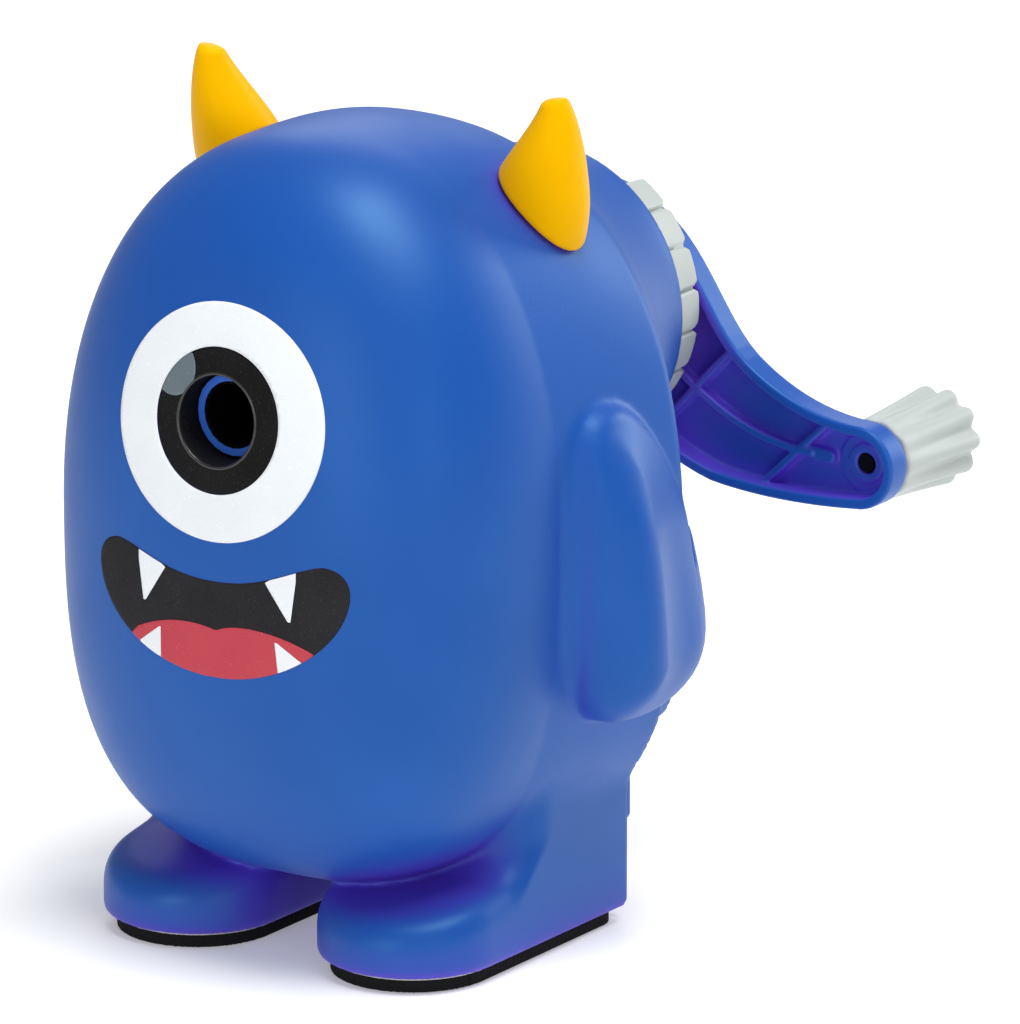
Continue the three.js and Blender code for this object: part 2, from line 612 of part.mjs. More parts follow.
// Frame that carries the axle round the pencil: a front collar, a trough, a rear disc and the shaft.
function cutterCarrier() {
  const c = CARRIER;
  const collar = tubeY(c.collarR, c.hole, c.collarFrom, c.collarTo);
  const arc = sector(c.troughIn, c.troughOut, -90, c.troughHalf);
  const trough = alongY(arc, c.collarTo - 1, c.discFrom + 1).translate([0, 0, AXIS_Z]);
  const disc = rodY(c.discR, c.discFrom, c.discTo);
  const shaft = rodY(c.shaft, c.discTo - 1, c.shaftEnd)
    .subtract(slab(WASHER.to, FAR, AXIS_Z + c.flat))
    .subtract(rodY(c.pilot, c.pilotFrom, FAR, 0, AXIS_Z, MEDIUM_SIDES));
  const axleHole = ontoCutterAxis(rodZ(AXLE.r + GAP, AXLE.from - GAP, AXLE.to + GAP));
  return union(collar, trough, disc, shaft).subtract(axleHole);
}

// ---------- crank ----------
// Arm seen from the face: round hub, swept upper edge, small round end, nearly level lower edge.
// x and z from the crank axis.
function armOutline() {
  const shape = new THREE.Shape();
  const end = new THREE.Vector2(ARM.endX, ARM.endZ - AXIS_Z);
  const leave = THREE.MathUtils.degToRad(ARM.leave);
  const join = THREE.MathUtils.degToRad(ARM.join);
  shape.absarc(ARM.hubX, ARM.hubZ, ARM.hubR, leave, join + 2 * Math.PI, false);
  shape.bezierCurveTo(8, -17.5, 12.5, -22.8, 21.7, -25.3);
  shape.bezierCurveTo(28.7, -26.5, 37.7, -26.6, end.x, end.y - ARM.endR);
  shape.absarc(end.x, end.y, ARM.endR, -Math.PI / 2, Math.PI / 2 - 0.1, false);
  shape.bezierCurveTo(39.8, -13.7, 33.2, -11.6, 27.3, -7.1);
  const top = polar(ARM.hubR, leave);
  shape.bezierCurveTo(21, -2, 18.6, 8.5, ARM.hubX + top.x, ARM.hubZ + top.y);
  shape.closePath();
  return shape;
}

// A closed outline moved inwards by a wall thickness.
function inward(points, wall) {
  const count = points.length;
  return points.map((p, i) => {
    const before = points[(i + count - 1) % count];
    const after = points[(i + 1) % count];
    const along = after.clone().sub(before).normalize();
    return p.clone().add(new THREE.Vector2(-along.y, along.x).multiplyScalar(wall));
  });
}

// A thin upright strip along a line, for a rib inside the arm.
function rib(points) {
  const left = inward(points, RIB.half).slice(1, -1);
  const right = inward(points, -RIB.half).slice(1, -1);
  return alongY(new THREE.Shape([...left.reverse(), ...right]), RIB.front, ARM.back - 0.5);
}

// A straight line with points enough for rib().
const straight = (from, to) => new THREE.LineCurve(from, to).getPoints(4);

// Channel that is open towards the body, with a bent lengthwise rib, two cross ribs and a boss at each end.
function crankArm() {
  const points = armOutline().getPoints(9);
  const clean = points.filter((p, i) => i === 0 || p.distanceTo(points[i - 1]) > 0.05);
  if (clean[0].distanceTo(clean.at(-1)) < 0.05) clean.pop();
  const outer = alongY(new THREE.Shape(clean), ARM.front, ARM.back);
  const inner = alongY(new THREE.Shape(inward(clean, ARM.wall)), ARM.front - 1, ARM.back - ARM.floor);
  const at = (x, z) => new THREE.Vector2(x, z);
  const spineEnd = at(RIB.spineEnd, -19.4);
  const spine = new THREE.CubicBezierCurve(at(4, -2), at(15, -10), at(22, -19), spineEnd);
  const ribs = [
    rib(spine.getPoints(12)),
    rib(straight(at(26, -4), at(10, -21))),
    rib(straight(at(42, -12.5), at(27, -27))),
  ];
  const end = at(ARM.endX, ARM.endZ - AXIS_Z);
  const hubBoss = rodY(ARM.boss, WASHER.to + GAP, ARM.back - 0.5, 0, 0, 28);
  const endBoss = rodY(ARM.endBoss, ARM.endBossY, ARM.back - 0.5, end.x, end.y, 20);
  let arm = outer.subtract(inner);
  for (const piece of [...ribs, hubBoss, endBoss]) arm = arm.add(piece.intersect(outer));
  arm = arm.translate([0, 0, AXIS_Z]);
  const socket = rodY(CARRIER.shaft + GAP, 0, CARRIER.shaftEnd + GAP)
    .subtract(slab(0, FAR, AXIS_Z + CARRIER.flat + GAP));
  return arm.subtract(socket)
    .subtract(rodY(ARM.hole, 0, FAR, 0, AXIS_Z, MEDIUM_SIDES))
    .subtract(rodY(ARM.hole, 0, FAR, ARM.endX, ARM.endZ, MEDIUM_SIDES));
}

function crankScrew() {
  const { r, from, headR, headThick } = CRANK_SCREW;
  const y = ARM.back + GAP;
  const shank = rodY(r, from, y + 0.5, 0, AXIS_Z, SMALL_SIDES);
  return crossCut(shank.add(rodY(headR, y, y + headThick)), 0, y + headThick, AXIS_Z);
}

const thrustWasher = () => tubeY(WASHER.out, WASHER.in, WASHER.from, WASHER.to);

// Fluted knob that flares towards its rounded free end. The flutes run out before the base.
function knob() {
  const rings = [];
  const around = 50;
  const fluteDepth = [[0, 0.15], [0.25, 0.35], [0.6, 0.8], [KNOB.closeAt, 1], [0.95, 0.9], [1, 0.6]];
  for (const [t, depth] of fluteDepth) {
    const y = KNOB.from + (KNOB.to - KNOB.from) * t;
    const flare = KNOB.baseR + (KNOB.endR - KNOB.baseR) * Math.min(1, t / KNOB.closeAt) ** 1.3;
    const close = KNOB.close * (Math.max(0, t - KNOB.closeAt) / (1 - KNOB.closeAt)) ** 2;
    rings.push(Array.from({ length: around }, (_, i) => {
      const angle = (i / around) * 2 * Math.PI;
      const dip = KNOB.flute * depth * (0.5 - 0.5 * Math.cos(angle * KNOB.lobes)) ** 1.5;
      const r = flare - close - dip;
      return new THREE.Vector3(ARM.endX + r * Math.cos(angle), y, ARM.endZ + r * Math.sin(angle));
    }));
  }
  return loft(rings)
    .subtract(rodY(KNOB.bore, 0, FAR, ARM.endX, ARM.endZ, MEDIUM_SIDES))
    .subtract(rodY(KNOB.pocket, KNOB.pocketY, FAR, ARM.endX, ARM.endZ));
}

function knobScrew() {
  const { r, from, headR, headThick } = KNOB_SCREW;
  const y = KNOB.pocketY + GAP;
  const shank = rodY(r, from, y + 0.5, ARM.endX, ARM.endZ, SMALL_SIDES);
  const head = rodY(headR, y, y + headThick, ARM.endX, ARM.endZ);
  return crossCut(shank.add(head), ARM.endX, y + headThick, ARM.endZ);
}

// ---------- assembly ----------
const sharpener = new THREE.Group();
sharpener.position.set(-FOOTPRINT.x, -FOOTPRINT.y, 0);

sharpener.add(
  node('front_shell', frontShell(), MATERIAL.blue),
  node('rear_cover', rearCover(), MATERIAL.blue),
  node('left_horn', horn(-1), MATERIAL.yellow),
  node('right_horn', horn(1), MATERIAL.yellow),
  node('pencil_bezel', pencilBezel(), MATERIAL.black),
  node('pencil_guide_tube', guideTube(), MATERIAL.blue),
  node('left_foot_pad', footPad(-1), MATERIAL.foam),
  node('right_foot_pad', footPad(1), MATERIAL.foam),
  node('shavings_drawer', shavingsDrawer(), MATERIAL.blue),
  node('lock_ring', lockRing(), MATERIAL.grey),
  node('ring_gear', ringGear(), MATERIAL.white),
  node('crank_bush', crankBush(), MATERIAL.white),
  node('cutter_carrier', cutterCarrier(), MATERIAL.white),
  node('cutter_axle', cutterAxle(), MATERIAL.steel),
  node('helical_cutter', cutter(), MATERIAL.steel),
  node('cutter_pinion', pinion(), MATERIAL.white),
  node('thrust_washer', thrustWasher(), MATERIAL.steel),
  node('crank_arm', crankArm(), MATERIAL.blue),
  node('crank_screw', crankScrew(), MATERIAL.steel),
  node('knob', knob(), MATERIAL.grey),
  node('knob_screw', knobScrew(), MATERIAL.steel),
);
SCREW_AT.forEach((at, i) => sharpener.add(node(`cover_screw_${i + 1}`, coverScrew(at), MATERIAL.steel)));

export default sharpener;
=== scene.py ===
"""Looks of the crank pencil sharpener: fine smooth mouldings, printed face, materials, light and camera.

Every moulded piece is drawn as a distance field in millimetres, in the drawing frame of the CAD part
(x = 0 is the middle of the monster, y = 0 a little behind its face, z = 0 the table), meshed, and moved
into the row frame.
"""
import math

import bpy
import numpy as np
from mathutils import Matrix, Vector


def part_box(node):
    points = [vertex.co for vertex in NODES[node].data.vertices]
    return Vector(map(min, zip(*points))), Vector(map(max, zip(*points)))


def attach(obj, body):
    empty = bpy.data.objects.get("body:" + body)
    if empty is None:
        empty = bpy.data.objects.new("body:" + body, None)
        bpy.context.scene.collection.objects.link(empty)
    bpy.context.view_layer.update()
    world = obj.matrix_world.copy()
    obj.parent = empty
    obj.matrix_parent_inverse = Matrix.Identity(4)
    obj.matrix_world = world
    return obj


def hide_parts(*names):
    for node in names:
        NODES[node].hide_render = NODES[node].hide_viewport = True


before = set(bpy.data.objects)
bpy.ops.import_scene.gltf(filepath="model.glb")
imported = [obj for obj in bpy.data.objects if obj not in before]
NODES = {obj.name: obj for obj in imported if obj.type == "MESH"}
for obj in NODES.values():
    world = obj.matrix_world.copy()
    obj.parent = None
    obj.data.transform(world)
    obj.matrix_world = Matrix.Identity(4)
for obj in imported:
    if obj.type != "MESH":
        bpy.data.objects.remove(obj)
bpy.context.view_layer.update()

MM = 0.001
FAR = 1e9                # larger than any distance here
TINY = 1e-12             # keeps a division by a zero length finite
AXIS_Z = 79.3            # height of the pencil and crank axis
# the middle between the foot pads is x = 0, and the cover starts just behind the parting plane at y = 20
PAD_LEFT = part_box("left_foot_pad")[0].x
PAD_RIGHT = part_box("right_foot_pad")[1].x
SHIFT = np.array([(PAD_LEFT + PAD_RIGHT) / 2 / MM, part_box("rear_cover")[0].y / MM - 20.3, 0.0])

# ---------------------------------------------------------------- fields


def smooth_max(a, b, k):
    """Largest of two fields with its edge rounded over about k."""
    h = np.clip(0.5 + 0.5 * (a - b) / k, 0, 1)
    return b + (a - b) * h + k * h * (1 - h)


def smooth_min(a, b, k):
    """Smallest of two fields with the inner corner filled over about k."""
    return -smooth_max(-a, -b, k)


def segment_square(u, v, a, b):
    """Square of the distance in a plane to one segment."""
    ex, ey = b[0] - a[0], b[1] - a[1]
    t = np.clip(((u - a[0]) * ex + (v - a[1]) * ey) / (ex * ex + ey * ey + TINY), 0, 1)
    return (u - a[0] - t * ex) ** 2 + (v - a[1] - t * ey) ** 2


def polygon_distance(u, v, outline):
    """Signed distance in a plane to a closed outline, negative inside."""
    starts = np.asarray(outline, float)
    ends = np.roll(starts, -1, axis=0)
    best = np.full(u.shape, FAR)
    inside = np.zeros(u.shape, bool)
    for a, b in zip(starts, ends):
        best = np.minimum(best, segment_square(u, v, a, b))
        rise = b[1] - a[1]
        left = u < (b[0] - a[0]) * (v - a[1]) / (rise if rise else TINY) + a[0]
        inside ^= ((a[1] > v) != (b[1] > v)) & left
    return np.where(inside, -1, 1) * np.sqrt(best)


def line_distance(u, v, points):
    """Distance in a plane to an open line."""
    best = np.full(u.shape, FAR)
    for a, b in zip(points[:-1], points[1:]):
        best = np.minimum(best, segment_square(u, v, a, b))
    return np.sqrt(best)


def bezier(*points, steps=12):
    """Points of one cubic curve, without its last point."""
    p = [np.array(q, float) for q in points]
    out = []
    for i in range(steps):
        t = i / steps
        s = 1 - t
        out.append(s ** 3 * p[0] + 3 * s ** 2 * t * p[1] + 3 * s * t * t * p[2] + t ** 3 * p[3])
    return out


def surface_nets(field, low, high, cell):
    """Vertices and quads of the zero surface of a field, on a regular grid."""
    axes = [np.arange(a - cell, b + 2 * cell, cell) for a, b in zip(low, high)]
    gx, gy, gz = np.meshgrid(*axes, indexing="ij")
    d = field(gx.ravel(), gy.ravel(), gz.ravel()).reshape(gx.shape)
    neg = d < 0
    shape = tuple(n - 1 for n in d.shape)
    corners = [(i, j, k) for i in (0, 1) for j in (0, 1) for k in (0, 1)]

    def corner(array, c):
        return array[c[0]:c[0] + shape[0], c[1]:c[1] + shape[1], c[2]:c[2] + shape[2]]

    count = sum(corner(neg, c).astype(np.int8) for c in corners)
    active = (count > 0) & (count < 8)
    cells = np.argwhere(active)
    index = np.full(shape, -1, np.int64)
    index[active] = np.arange(len(cells))
    total = np.zeros((len(cells), 3))
    hits = np.zeros(len(cells))
    value = [corner(d, c)[active] for c in corners]
    for m, c in enumerate(corners):
        for n, e in enumerate(corners):
            if n <= m or sum(abs(p - q) for p, q in zip(c, e)) != 1:
                continue
            cross = (value[m] < 0) != (value[n] < 0)
            t = value[m] / np.where(cross, value[m] - value[n], 1)
            point = np.array(c) + t[:, None] * (np.array(e) - np.array(c))
            total[cross] += point[cross]
            hits[cross] += 1
    start = np.array([a[0] for a in axes])
    verts = start + (cells + total / hits[:, None]) * cell

    quads = []
    for axis in range(3):
        o1, o2 = [a for a in range(3) if a != axis]
        if axis == 1:
            o1, o2 = o2, o1
        lo = [slice(1, -1)] * 3
        lo[axis] = slice(0, -1)
        hi = list(lo)
        hi[axis] = slice(1, None)
        a, b = neg[tuple(lo)], neg[tuple(hi)]
        base = np.array([1, 1, 1])
        base[axis] = 0
        for flip in (False, True):
            where = np.argwhere((a & ~b) if not flip else (~a & b)) + base
            if not len(where):
                continue
            ring = []
            for s1, s2 in ((1, 1), (0, 1), (0, 0), (1, 0)):
                at = where.copy()
                at[:, o1] -= s1
                at[:, o2] -= s2
                ring.append(index[at[:, 0], at[:, 1], at[:, 2]])
            quad = np.stack(ring, 1)
            quads.append(quad[:, ::-1] if flip else quad)
    return verts, np.concatenate(quads)


def gradient(field, p, h=0.02):
    """Slope of a field at points, by central differences."""
    g = np.zeros_like(p)
    for a in range(p.shape[1]):
        e = np.zeros(p.shape[1])
        e[a] = h
        up, down = p + e, p - e
        g[:, a] = (field(*up.T) - field(*down.T)) / (2 * h)
    return g


RELAX_ROUNDS, RELAX_STEP = 2, 0.3    # steps onto the exact surface, and the longest one in cells


def mesh_field(name, field, low, high, cell, material, body, replaces=()):
    """Meshes a field as one smooth object and hands it to the frame."""
    verts, quads = surface_nets(field, low, high, cell)
    for _ in range(RELAX_ROUNDS):
        g = gradient(field, verts)
        size = np.linalg.norm(g, axis=1)
        step = field(*verts.T) / np.maximum(size, 0.3) ** 2
        step = np.clip(step, -RELAX_STEP * cell, RELAX_STEP * cell)
        verts = verts - g * step[:, None]
    return add_mesh(name, verts, quads, material, body, replaces)


def add_mesh(name, verts, faces, material, body, replaces=()):
    """One smooth-shaded object, moved from the drawing frame into the row frame, that rides on a body."""
    mesh = bpy.data.meshes.new(name)
    co = (np.asarray(verts, float) + SHIFT) * MM
    mesh.from_pydata(co.tolist(), [], [list(map(int, f)) for f in faces])
    mesh.validate()
    mesh.shade_smooth()
    mesh.materials.append(material)
    obj = bpy.data.objects.new(name, mesh)
    bpy.context.scene.collection.objects.link(obj)
    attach(obj, body)
    if replaces:
        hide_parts(*replaces)
    return obj


# ---------------------------------------------------------------- body shape

HALF, UP, DOWN, MID_Z = 37.0, 52.7, 51.8, 61.9          # egg section: half width, heights, middle
UP_POWER, DOWN_POWER = 2.2, 2.8                         # fullness of its upper and lower half
BULGE_Y, NOSE, NOSE_POWER, NOSE_DROP = -6.0, 29.2, 2.66, 9.6    # the belly's front end
PART_Y, WIDEN, TOP_DRAFT = 20.0, 0.09, 0.08             # parting plane and the drafts up to it
WALL = 2.2
DOME_END, COLLAR_R, DOME_POWER = 47.3, 22.2, 0.8        # rear dome: its end, end radius and hollowness
DOME_DEPTHS, DOME_TURNS, EGG_POINTS = 80, 241, 720      # table sizes


def body_field(x, y, z):
    """Distance to the belly in front of the parting plane, which runs straight on behind it."""
    t = np.clip((BULGE_Y - y) / NOSE, 0, 3)
    size = (1 - np.minimum(t, 0.99999) ** NOSE_POWER) ** (1 / NOSE_POWER)
    back = np.clip((y - BULGE_Y) / (PART_Y - BULGE_Y), 0, 1)
    wide = 1 + WIDEN * back
    dz = z - (MID_Z - NOSE_DROP * (1 - size))
    n = np.where(dz > 0, UP_POWER, DOWN_POWER)
    height = np.where(dz > 0, UP * (1 - TOP_DRAFT * back ** 3), DOWN)
    qx = np.abs(x) / (HALF * wide)
    qz = np.abs(dz) / height
    q = np.maximum((qx ** n + qz ** n) ** (1 / n), 1e-6)
    g = np.maximum((q ** NOSE_POWER + t ** NOSE_POWER) ** (1 / NOSE_POWER), 1e-6)
    slope_q = (q / g) ** (NOSE_POWER - 1)
    slope_t = (t / g) ** (NOSE_POWER - 1) / NOSE
    slope_x = (qx / q) ** (n - 1) / (HALF * wide)
    slope_z = (qz / q) ** (n - 1) / height
    slope = np.sqrt(slope_q ** 2 * (slope_x ** 2 + slope_z ** 2) + slope_t ** 2)
    return (g - 1) / np.maximum(slope, 1e-4)


def face_y(x, z):
    """Depth of the face at each x and z, found by bisection."""
    x, z = np.asarray(x, float), np.asarray(z, float)
    near, far = np.full(x.shape, BULGE_Y - NOSE - 2), np.full(x.shape, BULGE_Y + 5.0)
    for _ in range(40):
        mid = (near + far) / 2
        outside = body_field(x, mid, z) > 0
        near = np.where(outside, mid, near)
        far = np.where(outside, far, mid)
    return far


def body_edge(angle, inset=0.0):
    """x and z of the egg section at the parting plane."""
    c, s = np.cos(angle), np.sin(angle)
    n = np.where(s > 0, UP_POWER, DOWN_POWER)
    height = np.where(s > 0, (UP - inset) * (1 - TOP_DRAFT), DOWN - inset)
    x = (HALF - inset) * (1 + WIDEN) * np.sign(c) * np.abs(c) ** (2 / n)
    return x, MID_Z + height * np.sign(s) * np.abs(s) ** (2 / n)


class Dome:
    """Distance to the dome behind the parting plane, from a table of its radius by depth and angle."""

    def __init__(self, inset=0.0):
        self.inset = inset
        self.depths = np.linspace(0, 1, DOME_DEPTHS)
        self.turns = np.linspace(-math.pi, math.pi, DOME_TURNS)
        angle = np.linspace(0, 2 * math.pi, EGG_POINTS, endpoint=False)
        ex, ez = body_edge(angle, inset)
        rows = []
        self.mids = []
        r = COLLAR_R - inset
        for t in self.depths:
            closing = 1 - (1 - t ** DOME_POWER) ** (1 / DOME_POWER)
            px = ex + (r * np.cos(angle) - ex) * closing
            pz = ez + (AXIS_Z + r * np.sin(angle) - ez) * closing
            mid = (pz.max() + pz.min()) / 2
            self.mids.append(mid)
            turn = np.arctan2(pz - mid, px)
            radius = np.hypot(px, pz - mid)
            order = np.argsort(turn)
            rows.append(np.interp(self.turns, turn[order], radius[order], period=2 * math.pi))
        self.table = np.array(rows)
        self.mids = np.array(self.mids)

    def __call__(self, x, y, z):
        end = DOME_END - self.inset
        t = np.clip((y - PART_Y) / (end - PART_Y), 0, 1)
        row = t * (len(self.depths) - 1)
        i = np.minimum(row.astype(int), len(self.depths) - 2)
        f = row - i
        mid = self.mids[i] * (1 - f) + self.mids[i + 1] * f
        turn = np.arctan2(z - mid, x)
        col = (turn + math.pi) / (2 * math.pi) * (len(self.turns) - 1)
        j = np.clip(col.astype(int), 0, len(self.turns) - 2)
        g = col - j
        tab = self.table
        radius = ((tab[i, j] * (1 - g) + tab[i, j + 1] * g) * (1 - f)
                  + (tab[i + 1, j] * (1 - g) + tab[i + 1, j + 1] * g) * f)
        drop = (tab[i + 1, j] - tab[i, j]) * (len(self.depths) - 1) / (end - PART_Y)
        d = (np.hypot(x, z - mid) - radius) / np.sqrt(1 + drop ** 2)
        return np.maximum(d, y - end)


# ---------------------------------------------------------------- front shell

FOOT_X, TOE_Y, TOE_R, SOLE = 18.0, -13.5, 13.2, 2.2
TOE_TOP, LEG_TOP, SHIN_Y, SHIN_R = 10.2, 27.0, -6.0, 7.0
CROWN_Y, CROWN_LONG, CROWN_RISE, CROWN_DIP = -26.0, 22.0, 3.8, 0.8      # the toe's top climbs to the rear
SCREWS = [(-31, 64), (31, 64), (-31, 33), (31, 33)]
BEZEL_R, SLEEVE_R, HOLE_R = 10.0, 7.7, 6.05


def foot_field(x, y, z):
    """Distance to both feet: a flat-topped round toe, and a plain leg that stands on its heel."""
    ax = np.abs(x) - FOOT_X
    plan = np.hypot(ax, np.minimum(y - TOE_Y, 0)) - TOE_R
    climb = CROWN_RISE * np.clip((y - CROWN_Y) / CROWN_LONG, 0, 1)
    crown = TOE_TOP + climb - CROWN_DIP * np.maximum(plan / TOE_R + 1, 0) ** 2
    toe = smooth_max(plan, (z - crown) * 0.97, 4.0)
    shin = np.hypot(np.maximum(np.abs(ax) - TOE_R + SHIN_R, 0), np.minimum(y - SHIN_Y - SHIN_R, 0)) - SHIN_R
    shin = np.maximum(shin, np.abs(ax) - TOE_R)
    leg = smooth_max(shin, z - LEG_TOP, 3)
    d = smooth_min(toe, leg, 5.0)
    d = np.maximum(d, plan)
    return smooth_max(d, SOLE - z, 1.5)


FLIPPER_OUTLINE = (
    bezier((4.5, 78.3), (-3.6, 78), (-3.4, 68), (-3.4, 56))
    + bezier((-3.4, 56), (-3.4, 46), (-3.6, 36.0), (3.4, 34.2))
    + bezier((3.4, 34.2), (14, 31.8), (27.2, 34.0), (25.6, 46.0))
    + bezier((25.6, 46.0), (23.4, 61), (13.5, 79), (4.5, 78.3))
)


FLIPPER_X, FLIPPER_DEEP, FLIPPER_SLOPE, FLIPPER_POWER = 39.8, 4.1, 9.0, 2.2
FLIPPER_TIP_DROP, FLIPPER_EDGE, FLIPPER_ROOT = 0.9, 2.2, 30.0
BULGE_HIGH, BULGE_AT_Y, BULGE_AT_Z, BULGE_LONG, BULGE_TALL = 4.6, 1.0, 50.0, 9.0, 26.0


def flipper_plan(y, z):
    return polygon_distance(y, z, FLIPPER_OUTLINE)


def flipper_field(x, y, z):
    """Distance to both flippers: a rounded paddle that stands off the side of the body."""
    plan = flipper_plan(y, z)
    edge = np.clip(-plan / FLIPPER_SLOPE, 0, 1)
    dome = 1 - (1 - edge) ** FLIPPER_POWER
    low = np.clip((76 - z) / 38, 0, 1)
    across = np.exp(-((y - BULGE_AT_Y) / BULGE_LONG) ** 2)
    bulge = BULGE_HIGH * across * np.clip(1 - ((z - BULGE_AT_Z) / BULGE_TALL) ** 2, 0, 1)
    outer = FLIPPER_X + FLIPPER_DEEP * dome * (0.35 + 0.65 * low)
    outer = outer - FLIPPER_TIP_DROP * np.clip((z - 62) / 18, 0, 1) + bulge * edge ** 0.5
    d = smooth_max(plan, np.abs(x) - outer, FLIPPER_EDGE)
    return np.maximum(d, FLIPPER_ROOT - np.abs(x))


def rod_y(x, z, cx, cz, r):
    """Distance to an endless rod along y."""
    return np.hypot(x - cx, z - cz) - r


POST_R, POST_END = 3.9, 18.0                            # screw posts
SEAT_DEEP, SEAT_BACK = 1.4, -15.0                       # seat of the bezel, and where its hole ends


def shell_field(x, y, z):
    """Front shell: belly, feet and flippers, hollow, with screw posts and the seat of the bezel."""
    body = body_field(x, y, z)
    feet = foot_field(x, y, z)
    trunk = smooth_min(body, feet, 1.0 + 0.4 * np.clip((y + 8) / 14, 0, 1))
    flip = flipper_field(x, y, z)
    soft = 0.4 + 2.6 * np.clip((14 - y) / 18, 0, 1) * np.clip((z - 35) / 12, 0.15, 1)
    rim = 0.5 + 1.6 * np.clip((z - 55) / 20, 0, 1)
    outer = smooth_min(smooth_max(trunk, y - PART_Y, rim), flip, soft)
    cut = smooth_max(outer, y - PART_Y, 0.5)
    hollow = np.minimum(body + WALL, np.maximum(feet + WALL, -y - 22))
    shell = smooth_max(cut, -hollow, 0.35)
    posts = np.minimum.reduce([rod_y(x, z, cx, cz, POST_R) for cx, cz in SCREWS])
    posts = np.maximum.reduce([posts, y - POST_END, body + 0.8])
    shell = np.minimum(shell, posts)
    # the flippers reach past the parting plane and lie clear over the rear cover
    overhang = smooth_max(np.maximum(flip, 19.4 - y), 0.6 - DOME(x, y, z), 0.9)
    shell = smooth_min(shell, overhang, 0.15)
    # seat of the bezel, with the sleeve's hole
    r = np.hypot(x, z - AXIS_Z)
    front = y - SEAT_BACK
    shell = np.maximum(shell, -np.maximum.reduce([r - BEZEL_R, front, -(body + SEAT_DEEP)]))
    shell = np.maximum(shell, -np.maximum(r - SLEEVE_R, front))
    return shell


DOME = Dome()

# ---------------------------------------------------------------- materials


def principled(name, color, roughness, **extra):
    """A new material, its node tree and its shader."""
    material = bpy.data.materials.new(name)
    material.use_nodes = True
    shader = material.node_tree.nodes["Principled BSDF"]
    shader.inputs["Base Color"].default_value = (*color, 1)
    shader.inputs["Roughness"].default_value = roughness
    for key, value in extra.items():
        shader.inputs[key.replace("_", " ")].default_value = value
    return material, material.node_tree, shader


def texture(tree, kind, scale, detail=2.0, **extra):
    """A noise in object space, in features per metre."""
    coords = tree.nodes.new("ShaderNodeTexCoord")
    node = tree.nodes.new(kind)
    node.inputs["Scale"].default_value = scale
    if "Detail" in node.inputs:
        node.inputs["Detail"].default_value = detail
    for key, value in extra.items():
        node.inputs[key].default_value = value
    tree.links.new(coords.outputs["Object"], node.inputs["Vector"])
    return node


def ramp(tree, source, low, high, a, b):
    """Maps low..high of a socket to a..b."""
    node = tree.nodes.new("ShaderNodeMapRange")
    node.inputs["From Min"].default_value = low
    node.inputs["From Max"].default_value = high
    node.inputs["To Min"].default_value = a
    node.inputs["To Max"].default_value = b
    tree.links.new(source, node.inputs["Value"])
    return node.outputs["Result"]


def mix_color(tree, factor, a, b):
    """Blends two colours or colour sockets by a socket."""
    node = tree.nodes.new("ShaderNodeMix")
    node.data_type = "RGBA"
    for socket, value in ((6, a), (7, b)):
        if isinstance(value, tuple):
            node.inputs[socket].default_value = (*value, 1)
        else:
            tree.links.new(value, node.inputs[socket])
    tree.links.new(factor, node.inputs[0])
    return node.outputs[2]


def bump(tree, shader, layers):
    """Chains bumps of (height socket, distance in mm, strength)."""
    last = None
    for height, distance, strength in layers:
        node = tree.nodes.new("ShaderNodeBump")
        node.inputs["Distance"].default_value = distance * MM
        node.inputs["Strength"].default_value = strength
        tree.links.new(height, node.inputs["Height"])
        if last:
            tree.links.new(last, node.inputs["Normal"])
        last = node.outputs["Normal"]
    tree.links.new(last, shader.inputs["Normal"])


GRAIN = 0.02             # height of the spark texture, mm
SHADE_REACH = 14.0       # how far a hollow's shade reaches, mm


def moulded(name, color, shade, roughness, painted_shade=None, gloss=0.5, sheen=(1, 1, 1)):
    """Moulded plastic: fine spark texture, faint flow clouds, dust specks and, if given, a painted shade
    colour that ambient occlusion blends into hollows and creases.
    """
    material, tree, shader = principled(name, color, roughness, Specular_IOR_Level=gloss,
                                        Specular_Tint=(*sheen, 1))
    cloud = texture(tree, "ShaderNodeTexNoise", 45, 3)
    fine = texture(tree, "ShaderNodeTexNoise", 2600, 2)
    coarse = texture(tree, "ShaderNodeTexNoise", 700, 2)
    speck = texture(tree, "ShaderNodeTexVoronoi", 230)
    tint = mix_color(tree, ramp(tree, cloud.outputs["Fac"], 0.35, 0.65, 0.0, 1.0), color, shade)
    dust = tuple(c * 0.45 for c in shade)
    tint = mix_color(tree, ramp(tree, speck.outputs["Distance"], 0.035, 0.05, 0.35, 0.0), tint, dust)
    # painted shade: hollows and creases take on the painted shade colour
    if painted_shade:
        occlusion = tree.nodes.new("ShaderNodeAmbientOcclusion")
        occlusion.inputs["Distance"].default_value = SHADE_REACH * MM
        occlusion.samples = 6
        tint = mix_color(tree, ramp(tree, occlusion.outputs["AO"], 0.25, 0.85, 1.0, 0.0), tint, painted_shade)
    tree.links.new(tint, shader.inputs["Base Color"])
    rough = ramp(tree, cloud.outputs["Fac"], 0.3, 0.7, roughness - 0.04, roughness + 0.05)
    tree.links.new(rough, shader.inputs["Roughness"])
    bump(tree, shader, [(coarse.outputs["Fac"], GRAIN * 1.5, 0.35), (fine.outputs["Fac"], GRAIN, 0.6)])
    return material


